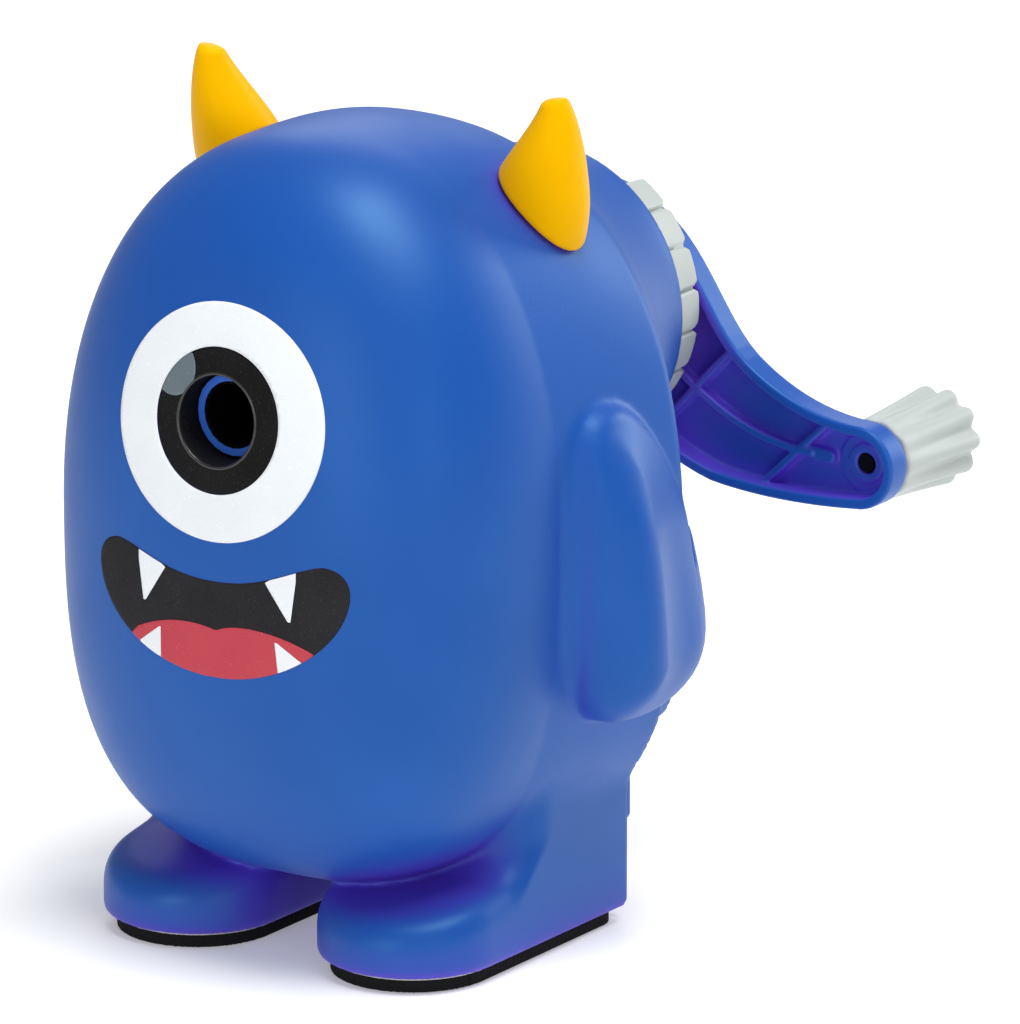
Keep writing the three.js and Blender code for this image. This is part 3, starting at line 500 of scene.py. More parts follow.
def printed(name, color, shade, roughness, gloss=0.3):
    """Pad-printed ink: matt, slightly uneven, with pin holes."""
    material, tree, shader = principled(name, color, roughness, Specular_IOR_Level=gloss)
    cloud = texture(tree, "ShaderNodeTexNoise", 120, 4)
    grain = texture(tree, "ShaderNodeTexNoise", 3800, 2)
    tint = mix_color(tree, ramp(tree, cloud.outputs["Fac"], 0.3, 0.7, 0.0, 1.0), color, shade)
    hole = tuple(min(1, c * 1.6 + 0.03) for c in shade)
    tint = mix_color(tree, ramp(tree, grain.outputs["Fac"], 0.62, 0.72, 0.0, 0.5), tint, hole)
    tree.links.new(tint, shader.inputs["Base Color"])
    bump(tree, shader, [(grain.outputs["Fac"], 0.02, 0.6)])
    return material


def metal(name, color, roughness):
    """Plated or ground steel with faint clouds."""
    material, tree, shader = principled(name, color, roughness, Metallic=1.0)
    cloud = texture(tree, "ShaderNodeTexNoise", 400, 4)
    dull = tuple(c * 0.8 for c in color)
    tint = mix_color(tree, ramp(tree, cloud.outputs["Fac"], 0.3, 0.7, 0.0, 1.0), color, dull)
    tree.links.new(tint, shader.inputs["Base Color"])
    rough = ramp(tree, cloud.outputs["Fac"], 0.3, 0.7, roughness - 0.06, roughness + 0.1)
    tree.links.new(rough, shader.inputs["Roughness"])
    bump(tree, shader, [(cloud.outputs["Fac"], 0.01, 0.4)])
    return material


def foam():
    """Black foam rubber with open pores, their bottoms darker as painted shade."""
    material, tree, shader = principled("foam", (0.004, 0.004, 0.004), 0.95, Specular_IOR_Level=0.1)
    pores = texture(tree, "ShaderNodeTexVoronoi", 1500)
    # painted shade: the colour darkens where the pores dip
    depth = ramp(tree, pores.outputs["Distance"], 0.1, 0.6, 0.0, 1.0)
    tint = mix_color(tree, depth, (0.0015, 0.0015, 0.002), (0.012, 0.012, 0.013))
    tree.links.new(tint, shader.inputs["Base Color"])
    bump(tree, shader, [(pores.outputs["Distance"], 0.25, 0.8)])
    return material


COOL = (0.42, 0.86, 1.0)             # tint of the blue mouldings' highlights
# the third blue is painted shade, a violet blue for the hollows and creases of the blue mouldings
BLUE_RGB, BLUE_SHADE, BLUE_PAINTED_SHADE = (0.006, 0.068, 0.345), (0.005, 0.062, 0.325), (0.085, 0.036, 0.50)
BLUE = moulded("blue_plastic", BLUE_RGB, BLUE_SHADE, 0.44, painted_shade=BLUE_PAINTED_SHADE, gloss=0.5, sheen=COOL)
# painted light: the guide tube gets a brighter copy of the blue plastic, to look lit deep inside the eye
# hole
TUBE_BLUE_PAINTED_LIGHT = moulded("tube_plastic_painted_light", (0.035, 0.12, 0.55), (0.032, 0.11, 0.52), 0.45, gloss=0.3, sheen=COOL)
# painted light: the crank arm gets a brighter copy of the blue plastic, with a bright violet painted shade
# in its channel, because the body keeps the front lamps off it
ARM_BLUE_PAINTED_LIGHT = moulded("arm_plastic_painted_light", (0.010, 0.074, 0.37), (0.009, 0.069, 0.35), 0.42,
                   painted_shade=(0.15, 0.06, 0.70), gloss=0.5, sheen=COOL)
# the yellow and grey mouldings also get a painted shade colour in their hollows
YELLOW = moulded("yellow_plastic", (0.84, 0.43, 0.0003), (0.81, 0.41, 0.0003), 0.42,
                 painted_shade=(0.80, 0.36, 0.0003), gloss=0.1, sheen=(1.0, 0.8, 0.1))
GREY = moulded("grey_plastic", (0.43, 0.47, 0.455), (0.40, 0.44, 0.425), 0.45,
               painted_shade=(0.41, 0.45, 0.44), gloss=0.4)
BLACK = printed("black_plastic", (0.0055, 0.0055, 0.006), (0.009, 0.009, 0.010), 0.5, gloss=0.07)
ACETAL = moulded("white_acetal", (0.68, 0.68, 0.64), (0.64, 0.64, 0.60), 0.4)
GLOSS_BLACK = printed("gloss_black", (0.012, 0.011, 0.011), (0.016, 0.015, 0.015), 0.22, gloss=0.6)
# painted shade: a matt black for the sleeve that darkens the inside of the guide tube
SHADE_SLEEVE_BLACK = printed("shade_sleeve_black", (0.0012, 0.0012, 0.0016), (0.002, 0.002, 0.0024), 0.8, gloss=0.02)
INK_WHITE = printed("ink_white", (0.765, 0.80, 0.83), (0.73, 0.765, 0.80), 0.5, gloss=0.2)
INK_BLACK = printed("ink_black", (0.015, 0.014, 0.016), (0.021, 0.020, 0.022), 0.6, gloss=0.08)
INK_RED = printed("ink_red", (0.49, 0.052, 0.072), (0.45, 0.046, 0.066), 0.55, gloss=0.2)
INK_GREY = printed("ink_grey", (0.10, 0.135, 0.16), (0.12, 0.155, 0.18), 0.4, gloss=0.4)
STEEL = metal("cutter_steel", (0.56, 0.57, 0.59), 0.32)
ZINC = metal("screw_zinc", (0.62, 0.63, 0.64), 0.28)
BLACKENED = metal("screw_blackened", (0.012, 0.012, 0.014), 0.5)
FOAM = foam()
TAPE = printed("tape_white", (0.62, 0.62, 0.60), (0.56, 0.56, 0.54), 0.6)

CAD_LOOK = {
    BLUE: ["front_shell", "rear_cover", "shavings_drawer"],
    TUBE_BLUE_PAINTED_LIGHT: ["pencil_guide_tube"],
    ARM_BLUE_PAINTED_LIGHT: ["crank_arm"],
    YELLOW: ["left_horn", "right_horn"],
    BLACK: ["pencil_bezel"],
    GREY: ["lock_ring", "knob"],
    ACETAL: ["ring_gear", "crank_bush", "cutter_carrier", "cutter_pinion"],
    STEEL: ["cutter_axle", "helical_cutter"],
    ZINC: ["thrust_washer", "crank_screw"] + [f"cover_screw_{n}" for n in (1, 2, 3, 4)],
    BLACKENED: ["knob_screw"],
    FOAM: ["left_foot_pad", "right_foot_pad"],
}
for look, names in CAD_LOOK.items():
    for node_name in names:
        slots = NODES[node_name].material_slots
        if not slots:
            NODES[node_name].data.materials.append(look)
        for material_slot in slots:
            material_slot.material = look

# ---------------------------------------------------------------- pieces


def cell_size(fine):
    return fine


CELL = cell_size(0.6)


def front_shell():
    mesh_field("front_shell_moulding", shell_field, (-50, -37, 1), (50, 28, 116), CELL, BLUE, "root",
               ["front_shell"])


def on_face(points, lift):
    """Points of a flat outline in x and z, laid on the face and lifted off it."""
    p = np.asarray(points, float)
    return np.column_stack([p[:, 0], face_y(p[:, 0], p[:, 1]) - lift, p[:, 1]])


CORNERS = ((0, 0), (1, 0), (0, 1), (1, 1))
INK_THICK = 0.05


def decal(name, field2d, low, high, cell, lift, material):
    """A printed patch: the inside of a flat outline, laid on the face as a thin closed sheet."""
    ax = [np.arange(a, b + cell, cell) for a, b in zip(low, high)]
    gu, gv = np.meshgrid(*ax, indexing="ij")
    d = field2d(gu.ravel(), gv.ravel()).reshape(gu.shape)
    keep = d < 0.75 * cell
    quad_in = keep[:-1, :-1] & keep[1:, :-1] & keep[:-1, 1:] & keep[1:, 1:]
    quad_any = (d[:-1, :-1] < 0) | (d[1:, :-1] < 0) | (d[:-1, 1:] < 0) | (d[1:, 1:] < 0)
    use = quad_in & quad_any
    ids = -np.ones(gu.shape, int)
    need = np.zeros(gu.shape, bool)
    for i, j in CORNERS:
        need[i:need.shape[0] - 1 + i, j:need.shape[1] - 1 + j] |= use
    ids[need] = np.arange(need.sum())
    uv = np.column_stack([gu[need], gv[need]])
    # border points slide onto the outline
    border = edge_mask(ids, use, need)
    for _ in range(3):
        g = gradient(field2d, uv, 0.01)
        size = np.maximum(g[:, 0] * g[:, 0] + g[:, 1] * g[:, 1], 0.25)
        move = np.where(border, field2d(*uv.T), 0) / size
        uv = uv - g * move[:, None]
    quads = np.stack([ids[:-1, :-1][use], ids[1:, :-1][use], ids[1:, 1:][use], ids[:-1, 1:][use]], 1)
    top = on_face(uv, lift)
    bottom = on_face(uv, lift - INK_THICK)
    n = len(top)
    faces = [list(q) for q in quads] + [[v + n for v in q[::-1]] for q in quads]
    edges = {}
    for q in quads:
        for k in range(4):
            pair = (int(q[k]), int(q[(k + 1) % 4]))
            if (pair[1], pair[0]) in edges:
                del edges[(pair[1], pair[0])]
            else:
                edges[pair] = 1
    faces += [[p[1], p[0], p[0] + n, p[1] + n] for p in edges]
    return add_mesh(name, np.vstack([top, bottom]), faces, material, "root")


def edge_mask(ids, use, need):
    """True for the points on the border of a patch of quads."""
    count = np.zeros(ids.shape, int)
    for i, j in CORNERS:
        count[i:count.shape[0] - 1 + i, j:count.shape[1] - 1 + j] += use
    return (count < 4)[need]


def ellipse(cx, cz, rx, rz):
    """Flat field of an ellipse."""
    def field(u, v):
        q = np.hypot((u - cx) / rx, (v - cz) / rz)
        slope = np.hypot((u - cx) / rx ** 2, (v - cz) / rz ** 2) / np.maximum(q, 1e-6)
        return (q - 1) / np.maximum(slope, 1e-6)
    return field


def outline_field(points):
    """Flat field of a closed outline."""
    return lambda u, v: polygon_distance(u, v, points)


def overlap(*fields):
    """Flat field of what all the fields cover; each is a field or a pair of it and its inset."""
    def field(u, v):
        parts = [f if isinstance(f, tuple) else (f, 0.0) for f in fields]
        return np.maximum.reduce([f(u, v) + inset for f, inset in parts])
    return field


def outside(shape):
    """Flat field of everything but a shape."""
    return lambda u, v: -shape(u, v)


MOUTH_X, MOUTH_TILT = 0.5, 0.022


def placed(points, mirror=False):
    """Mouth points, drawn about its middle, put in place with a slight tilt."""
    p = np.array([(-x if mirror else x, z) for x, z in points], float)
    out = np.column_stack([p[:, 0] + MOUTH_X, p[:, 1] + MOUTH_TILT * p[:, 0]])
    return out[::-1] if mirror else out


def mouth_outline():
    """Crescent of the open mouth, its left half mirrored from its right one."""
    right = (bezier((0, 57.3), (7.8, 57.2), (12.4, 60.5), (16.6, 61.1))
             + bezier((16.6, 61.1), (19.2, 61.1), (20.9, 59.2), (20.4, 56.4))
             + bezier((20.4, 56.4), (19.4, 49.6), (10.3, 43.8), (0, 43.8), steps=20))
    return np.vstack([placed(right), placed(right[1:], mirror=True)])


def tongue_outline():
    """Tongue with two humps; the mouth's edge cuts it off below."""
    top = (bezier((15.9, 48.6), (11, 51.4), (3.6, 52.2), (0.2, 50.5))
           + bezier((0.2, 50.5), (-4, 51.6), (-9, 51.4), (-14.6, 48.5)))
    bottom = [(-15.4, 47.0), (-9, 40), (9, 40), (16.5, 47.0)]
    return placed([tuple(p) for p in top] + bottom)


UPPER_FANG = [(8.2, 58.2), (12.9, 61), (12.9, 58.8), (12.1, 53.1), (11.7, 53.1)]
LOWER_FANGS = {
    "right": [(9.95, 50.0), (9.65, 50.0), (10.4, 42.7), (18, 42.7), (18, 44.7)],
    "left": [(9.4, 49.7), (9.1, 49.7), (9.2, 42.7), (17, 42.7), (17, 44.2)],
}
INK_LIFT, TONGUE_LIFT, FANG_LIFT, GLINT_LIFT = 0.06, 0.10, 0.13, 0.07
FANG_CELL = 0.22


def face():
    """The printed face: white of the eye, mouth, tongue and four small fangs."""
    eye = ellipse(0, 78.95, 16.75, 16.15)
    hole = ellipse(0, AXIS_Z, BEZEL_R - 0.05, BEZEL_R - 0.05)
    decal("print_eye_white", overlap(eye, outside(hole)), (-18, 62), (18, 96), 0.45, INK_LIFT, INK_WHITE)
    mouth = outline_field(mouth_outline())
    decal("print_mouth", mouth, (-22, 42), (23, 63), 0.4, INK_LIFT, INK_BLACK)
    tongue = outline_field(tongue_outline())
    decal("print_tongue", overlap((mouth, 0.02), tongue), (-17, 42), (18, 53), 0.35, TONGUE_LIFT, INK_RED)
    for label, lower_fang in LOWER_FANGS.items():
        upper = outline_field(placed(UPPER_FANG, label == "left"))
        decal(f"print_fang_upper_{label}", overlap((mouth, 0.05), upper), (-15, 52), (15, 62), FANG_CELL,
              FANG_LIFT, INK_WHITE)
        lower = outline_field(placed(lower_fang, label == "left"))
        decal(f"print_fang_lower_{label}", overlap((mouth, 0.02), lower), (-18, 42.5), (19, 51), FANG_CELL,
              FANG_LIFT, INK_WHITE)


# the last four numbers place the black sleeve of painted shade inside the guide tube
LIP_R, SHADE_SLEEVE_R, SHADE_SLEEVE_THICK, SHADE_SLEEVE_MID, SHADE_SLEEVE_HALF = 0.26, 4.5, 0.22, -19.7, 10.2


def bezel_field(x, y, z):
    """Black ring that is flush with the face, with its sleeve."""
    r = np.hypot(x, z - AXIS_Z)
    skin = body_field(x, y, z)
    disc = np.maximum(smooth_max(skin - 0.02, r - (BEZEL_R - 0.1), 0.25), -(skin + 1.2))
    disc = np.maximum(disc, y + 20)
    sleeve = np.maximum.reduce([r - (SLEEVE_R - 0.15), y + 24.6, skin + 0.4])
    return smooth_max(np.minimum(disc, sleeve), HOLE_R - r, 0.7)


def lip_field(x, y, z):
    """Thin round lip of the hole."""
    return np.hypot(np.hypot(x, z - AXIS_Z) - HOLE_R - 0.32, body_field(x, y, z) + 0.18) - LIP_R


def shade_sleeve_field(x, y, z):
    """Black sleeve inside the guide tube, painted shade that darkens the inside of the hole."""
    wall = np.abs(np.hypot(x, z - AXIS_Z) - SHADE_SLEEVE_R) - SHADE_SLEEVE_THICK
    return smooth_max(wall, np.abs(y - SHADE_SLEEVE_MID) - SHADE_SLEEVE_HALF, 0.1)


def bezel():
    """The ring, its glossy lip, a black sleeve of painted shade behind it and the printed glint of the eye.
    """
    mesh_field("bezel_ring", bezel_field, (-11, -36, 68), (11, -23, 91), cell_size(0.22), BLACK, "root",
               ["pencil_bezel"])
    mesh_field("bezel_lip", lip_field, (-7, -36, 72), (7, -30, 87), cell_size(0.14), GLOSS_BLACK,
               "root")
    # painted shade: a black sleeve darkens the inside of the guide tube
    mesh_field("guide_shade_sleeve", shade_sleeve_field, (-5, -30.2, 74), (5, -9.2, 85), 0.25, SHADE_SLEEVE_BLACK, "root")
    ring = ellipse(0, AXIS_Z, BEZEL_R - 0.12, BEZEL_R - 0.12)
    hole = ellipse(0, AXIS_Z, HOLE_R + 0.35, HOLE_R + 0.35)
    glint = ellipse(-7.5, 85.4, 3.55, 3.65)
    decal("print_glint", overlap(glint, ring, outside(hole)), (-12, 80), (-2, 90), 0.2, GLINT_LIFT, INK_GREY)


HORN_TIP_Z, HORN_CAP, HORN_GROW, HORN_FILLET = 120.0, 1.3, 15.0, 1.1
HORN_Y, HORN_SWEEP, HORN_OUTER_X, HORN_HALF_Y = 5.5, 0.14, 30.2, 6.3


def horn_shape(down):
    """Centre and half sizes of a horn's section at a depth below its tip."""
    d = np.maximum(down, 1e-3)
    cap = (1 - np.clip(1 - d / HORN_CAP, 0, 1) ** 2.6) ** (1 / 2.6)
    grow = HORN_GROW * np.tanh((d / HORN_GROW) ** 1.5) ** (1 / 1.5)
    r = (1.65 + 0.40 * grow + 0.0055 * grow ** 2) * cap
    outer = HORN_OUTER_X + 1.7 * (1 - np.exp(-d / 4.0)) - 0.022 * np.maximum(d - 13, 0) ** 2
    deep = HORN_HALF_Y * np.tanh((r / HORN_HALF_Y) ** 2.2) ** (1 / 2.2)
    return outer - r, HORN_Y + HORN_SWEEP * d, r, deep


def horn_field(x, y, z):
    """Distance to one horn, whose rounded foot lies on the body."""
    down = HORN_TIP_Z - z
    cx, cy, rx, ry = horn_shape(down)
    qx, qy = (x - cx) / rx, (y - cy) / ry
    q = np.maximum(np.hypot(qx, qy), 1e-6)
    side = (q - 1) * q / np.maximum(np.hypot(qx / rx, qy / ry), 1e-6) * 0.9
    cone = np.maximum(np.minimum(side, 3), -down)
    return smooth_max(cone, 0.15 - body_field(x, y, z), HORN_FILLET)


def horns():
    """Smooth horns whose foot follows the body."""
    for side, name in ((-1, "left"), (1, "right")):
        low, high = sorted((side * 15.5, side * 33.5))
        mesh_field(f"{name}_horn_moulding", lambda x, y, z: horn_field(side * x, y, z), (low, -2, 95),
                   (high, 17, 121), cell_size(0.3), YELLOW, "root", [f"{name}_horn"])


# ---------------------------------------------------------------- rear cover and drawer

DRAWER_HALF, DRAWER_LOW, DRAWER_TOP = 21.0, 17.0, 38.0
DRAWER_GAP, DRAWER_WALL, TRAY_TOP, TRAY_FRONT = 0.35, 1.6, 34.0, -16.0
BEYOND = 99.0                                           # an end that lies outside the object
COVER_Y, COLLAR_Y = 20.3, 34.0                          # fronts of the heels and of the collar
BOSS_R, HEAD_R, SHANK_R, HEAD_SEAT_Y = 4.6, 3.1, 1.6, 22.4
BORE_R, LUG_R, LUG_Y, LUG_END_Y = 19.3, 20.9, 37.7, 41.3


def box_field(x, y, z, low, high):
    """Distance to a box."""
    return np.maximum.reduce([low[0] - x, x - high[0], low[1] - y, y - high[1], low[2] - z, z - high[2]])


def cover_skin(x, y, z):
    """The dome, drawn in a little just behind the front shell's rounded rim."""
    return DOME(x, y, z) + 0.9 * np.clip(1 - (y - PART_Y) / 5, 0, 1) ** 2


def lug_angle(x, z, turn):
    """Angle from the nearest of three bayonet lugs."""
    a = np.degrees(np.arctan2(z - AXIS_Z, x)) - 90 - turn
    return np.abs((a + 60) % 120 - 60)


def cover_field(x, y, z):
    """Rear cover: dome, collar with its bayonet ways, heels, screw bosses and the drawer's opening."""
    r = np.hypot(x, z - AXIS_Z)
    dome = cover_skin(x, y, z)
    collar = np.maximum(r - COLLAR_R, COLLAR_Y - y)
    outer = smooth_max(smooth_min(dome, collar, 0.6), y - DOME_END, 0.9)
    heels = box_field(np.abs(x), y, z, (6.5, COVER_Y, 2.6), (29.4, BEYOND, 27.0))
    heels = smooth_max(heels, y - 22.1, 0.5)
    hollow = DOME_IN(x, y, z)
    shell = np.maximum(outer, -np.maximum(hollow, 19 - y))
    shell = np.minimum(shell, np.maximum(collar, y - DOME_END + 0.5))
    shell = np.minimum(shell, heels)
    bosses = np.minimum.reduce([rod_y(x, z, cx, cz, BOSS_R) for cx, cz in SCREWS])
    heads = np.minimum.reduce([rod_y(x, z, cx, cz, HEAD_R) for cx, cz in SCREWS])
    shanks = np.minimum.reduce([rod_y(x, z, cx, cz, SHANK_R) for cx, cz in SCREWS])
    seats = np.minimum(np.maximum(heads, HEAD_SEAT_Y - y), shanks)
    # the lower screws stand in low pads that stick out of the dome
    pad = np.maximum.reduce([bosses, y - 24.2, body_field(x, np.full(y.shape, PART_Y), z) + 0.6])
    shell = np.minimum(shell, np.minimum(np.maximum(bosses, dome + 0.5), pad))
    shell = smooth_max(shell, -seats, 0.3)
    bore = r - BORE_R
    way = np.maximum.reduce([r - LUG_R, lug_angle(x, z, 30) - 15.8, LUG_Y - y])
    pocket = np.maximum.reduce([r - LUG_R, LUG_Y - y, y - LUG_END_Y])
    shell = smooth_max(shell, -np.minimum.reduce([bore, way, pocket]), 0.25)
    wide, gap = DRAWER_HALF + DRAWER_GAP, DRAWER_GAP
    hole = box_field(x, y, z, (-wide, 15, DRAWER_LOW - gap), (wide, BEYOND, DRAWER_TOP + gap))
    shell = smooth_max(shell, -hole, 0.35)
    # a tongue behind the skin closes the seam against the front shell
    tongue = np.maximum.reduce([DOME(x, y, z) + 0.5, -hollow, 19.6 - y, y - 23, 27.5 - z])
    shell = np.minimum(smooth_max(shell, PART_Y + 0.15 - y, 0.3), tongue)
    return smooth_max(shell, SOLE - z, 0.5)


def rear_cover():
    mesh_field("rear_cover_moulding", cover_field, (-41, 19, 2), (41, 48, 115), CELL, BLUE, "root",
               ["rear_cover"])


def drawer_field(x, y, z):
    """Drawer: a tray, a panel that carries the dome on, and a pull along its foot."""
    dome, inner = cover_skin(x, y, z), DOME_IN(x, y, z)
    half, wall = DRAWER_HALF, DRAWER_WALL
    opening = box_field(x, y, z, (-half, COVER_Y, DRAWER_LOW), (half, BEYOND, DRAWER_TOP))
    panel = smooth_max(np.maximum(dome, -inner), opening, 0.5)
    block = box_field(x, y, z, (-half, TRAY_FRONT, DRAWER_LOW), (half, BEYOND, TRAY_TOP))
    low = (wall - half, TRAY_FRONT + wall, DRAWER_LOW + wall)
    inside = box_field(x, y, z, low, (half - wall, BEYOND, 50))
    room = np.where(y < PART_Y, body_field(x, y, z) + 2.5, inner - 0.6)
    tray = np.maximum(smooth_max(block, -inside, 0.3), room)
    shelf = np.maximum(box_field(x, y, z, (-half, 22, 17), (half, 28.6, 20.4)), -inner)
    lip = smooth_max(box_field(np.abs(x), y, z, (-1, 25.8, 12.2), (26, 28.6, 20.4)), 0.3 - dome, 0.3)
    pull = smooth_min(shelf, lip, 0.8)
    return smooth_min(np.minimum(panel, tray), pull, 0.5)


def drawer():
    mesh_field("drawer_moulding", drawer_field, (-27, -17, 11.5), (27, 34, 39), cell_size(0.5), BLUE,
               "drawer", ["shavings_drawer"])


# ---------------------------------------------------------------- lock ring, crank arm, knob

RING_FRONT, RING_BACK, RING_R, RING_BACK_R = 47.6, 54.2, 20.8, 20.5
PADS, PAD_TURN, PAD_REACH = 21, 8.9, 58.5               # pads, their turn and how far they reach, degrees
PLAIN_R = 18.2                                          # the ring at its plain top and bottom


def ring_field(x, y, z):
    """Grip ring of pads with a skirt, three lugs and the wall that holds the bush."""
    r = np.hypot(x, z - AXIS_Z)
    angle = np.degrees(np.arctan2(z - AXIS_Z, x))
    pitch = 360 / PADS
    arc = np.radians((angle + PAD_TURN + pitch / 2) % pitch - pitch / 2) * r
    side = r - (RING_R - (RING_R - RING_BACK_R) * (y - RING_FRONT) / (RING_BACK - RING_FRONT))
    # each pad has rounded corners at the rear rim and a narrow groove to its neighbour
    notch = np.maximum(smooth_max(np.abs(arc) - 0.6, RING_BACK - 0.8 - y, 0.7), RING_BACK_R - 1.2 - r)
    groove = smooth_max(np.abs(arc) - 0.2, RING_BACK_R - 0.45 - r, 0.1)
    side = smooth_max(side, -groove, 0.28)
    rim = smooth_max(smooth_max(side, y - RING_BACK, 0.5), RING_FRONT - y, 0.4)
    rim = smooth_max(rim, -notch, 0.35)
    plain = np.radians(PAD_REACH - np.abs((angle + 90) % 180 - 90)) * r
    core = smooth_max(np.maximum(r - PLAIN_R, RING_FRONT - y), y - RING_BACK, 0.5)
    rim = np.minimum(smooth_max(rim, -plain, 0.9), core)
    skirt = np.maximum.reduce([r - 19, 23.4 - y, y - 47.9])
    ring = np.minimum(rim, skirt)
    ring = np.maximum(ring, -np.maximum(r - 17, y - 51))
    lugs = np.maximum.reduce([r - 20.6, 18.4 - r, (lug_angle(x, z, 0) - 14.9) * 0.34, 38 - y, y - 41])
    ring = np.minimum(ring, lugs)
    return smooth_max(ring, 5.9 - r, 0.4)


def lock_ring():
    mesh_field("lock_ring_moulding", ring_field, (-21, 23, AXIS_Z - 21), (21, 54.5, AXIS_Z + 21),
               cell_size(0.36), GREY, "cartridge", ["lock_ring"])


END_X, END_Z, END_R = 45.7, 59.5, 6.0                   # the arm's round end, about the knob's axis
ARM_FRONT, ARM_BACK, ARM_WALL, ARM_FLOOR = 55.0, 59.8, 1.5, 1.2
HUB_X, HUB_Z, HUB_R, HUB_LEAVE, HUB_JOIN = 0.6, -0.9, 16.5, 58, 264
END_TURN = 84.3                                         # where the end meets the upper edge, degrees
RIB_HALF, RIB_FRONT, SPINE_END = 0.55, 56.9, (37, -19.4)
CROSS_RIBS = [[(26, -4), (10, -21)], [(42, -12.5), (27, -27)]]


def arc_points(cx, cz, r, a0, a1, steps):
    """Points of an arc, angles in degrees, without its last point."""
    turns = np.radians(np.linspace(a0, a1, steps, endpoint=False))
    return [(cx + r * math.cos(t), cz + r * math.sin(t)) for t in turns]


def arm_outline():
    """Round hub, swept upper edge, small round end and nearly level lower edge, from the crank axis."""
    ex, ez = END_X, END_Z - AXIS_Z
    hub = arc_points(HUB_X, HUB_Z, HUB_R, HUB_LEAVE, HUB_JOIN, 60)
    start = arc_points(HUB_X, HUB_Z, HUB_R, HUB_JOIN, HUB_JOIN + 1, 1)[0]
    lower = (bezier(start, (8, -17.5), (12.5, -22.8), (21.7, -25.3))
             + bezier((21.7, -25.3), (28.7, -26.5), (37.7, -26.6), (ex, ez - END_R)))
    end = arc_points(ex, ez, END_R, -90, END_TURN, 24)
    top = arc_points(ex, ez, END_R, END_TURN, END_TURN + 1, 1)[0]
    upper = (bezier(top, (39.8, -13.7), (33.2, -11.6), (27.3, -7.1))
             + bezier((27.3, -7.1), (21, -2), (18.6, 8.5), hub[0]))
    return hub + lower + end + upper


def arm_field(x, y, z):
    """Crank arm: a channel open to the front, with a curved spine, two cross ribs and two bosses."""
    w = z - AXIS_Z
    plan = polygon_distance(x, w, ARM_OUTLINE)
    outer = smooth_max(smooth_max(plan, y - ARM_BACK, 1.3), ARM_FRONT - y, 0.45)
    channel = smooth_max(plan + ARM_WALL, y - (ARM_BACK - ARM_FLOOR), 0.5)
    arm = smooth_max(outer, -channel, 0.5)
    spine = bezier((4, -2), (15, -10), (22, -19), SPINE_END) + [np.array(SPINE_END)]
    ribs = np.minimum.reduce([line_distance(x, w, line) for line in [spine, *CROSS_RIBS]]) - RIB_HALF
    tab = np.maximum(line_distance(x, w, [SPINE_END, (39.9, -19.6)]) - 0.95, 57.3 - y)
    ribs = np.minimum(smooth_max(ribs, RIB_FRONT - y, 0.35), tab)
    from_hub = np.hypot(x, w)
    from_end = np.hypot(x - END_X, z - END_Z)
    boss = smooth_max(from_end - 2.9, 57.9 - y, 0.4)
    step = smooth_max(from_end - 4.4, 58.25 - y, 0.3)
    hub = smooth_max(from_hub - 6.4, 55.6 - y, 0.4)
    room = np.maximum(plan + 0.8, y - ARM_BACK + 0.5)
    inside = np.maximum(np.minimum.reduce([ribs, boss, step, hub]), room)
    arm = smooth_min(arm, inside, 0.35)
    socket = np.maximum.reduce([from_hub - 3.5, y - 57.9, w - 2.5])
    holes = np.minimum(np.minimum(from_hub, from_end) - 1.5, socket)
    return smooth_max(arm, -holes, 0.3)


def crank_arm():
    mesh_field("crank_arm_moulding", arm_field, (-17.5, 54.5, AXIS_Z - 27), (52.5, 60.2, AXIS_Z + 17.5),
               cell_size(0.3), ARM_BLUE_PAINTED_LIGHT, "crank", ["crank_arm"])


KNOB_FRONT, KNOB_BACK, KNOB_R, KNOB_FLARE, FLUTES = 60.1, 77.8, 5.9, 1.2, 10


def knob_field(x, y, z):
    """Fluted knob that flares towards its rounded free end."""
    r = np.hypot(x - END_X, z - END_Z)
    angle = np.arctan2(z - END_Z, x - END_X)
    t = np.clip((y - KNOB_FRONT) / (KNOB_BACK - KNOB_FRONT), 0, 1)
    flare = KNOB_R + KNOB_FLARE * np.minimum(1, t / 0.9) ** 1.3
    depth = np.interp(t, [0, 0.25, 0.6, 0.86, 1], [0.25, 0.5, 0.95, 1.15, 1.1])
    dip = depth * (0.5 - 0.5 * np.cos(angle * FLUTES)) ** 1.3
    side = r - flare + dip
    body = smooth_max(smooth_max(side, y - KNOB_BACK, 1.6), KNOB_FRONT - y, 0.6)
    holes = np.minimum(r - 1.7, np.maximum(r - 3.2, 73.8 - y))
    return smooth_max(body, -holes, 0.3)


def knob():
    reach = 7.5
    mesh_field("knob_moulding", knob_field, (END_X - reach, 59.8, END_Z - reach),
               (END_X + reach, 78.1, END_Z + reach), cell_size(0.25), GREY, "grip", ["knob"])


# ---------------------------------------------------------------- foot pads


PAD_REAR_Y, PAD_INSET, PAD_HALF = 21.4, 1.8, 0.95
TAPE_INSET, TAPE_Z, TAPE_HALF = 1.55, 2.03, 0.14


def sheet_field(side, inset, middle, half, edge):
    """Distance to a flat sheet in the outline of a sole, drawn in by an inset."""
    def field(x, y, z):
        across = np.abs(x - side * FOOT_X)
        toe = np.hypot(across, np.minimum(y - TOE_Y, 0)) - TOE_R
        plan = smooth_max(toe, y - PAD_REAR_Y, 3.0)
        return smooth_max(plan + inset, np.abs(z - middle) - half, edge)
    return field


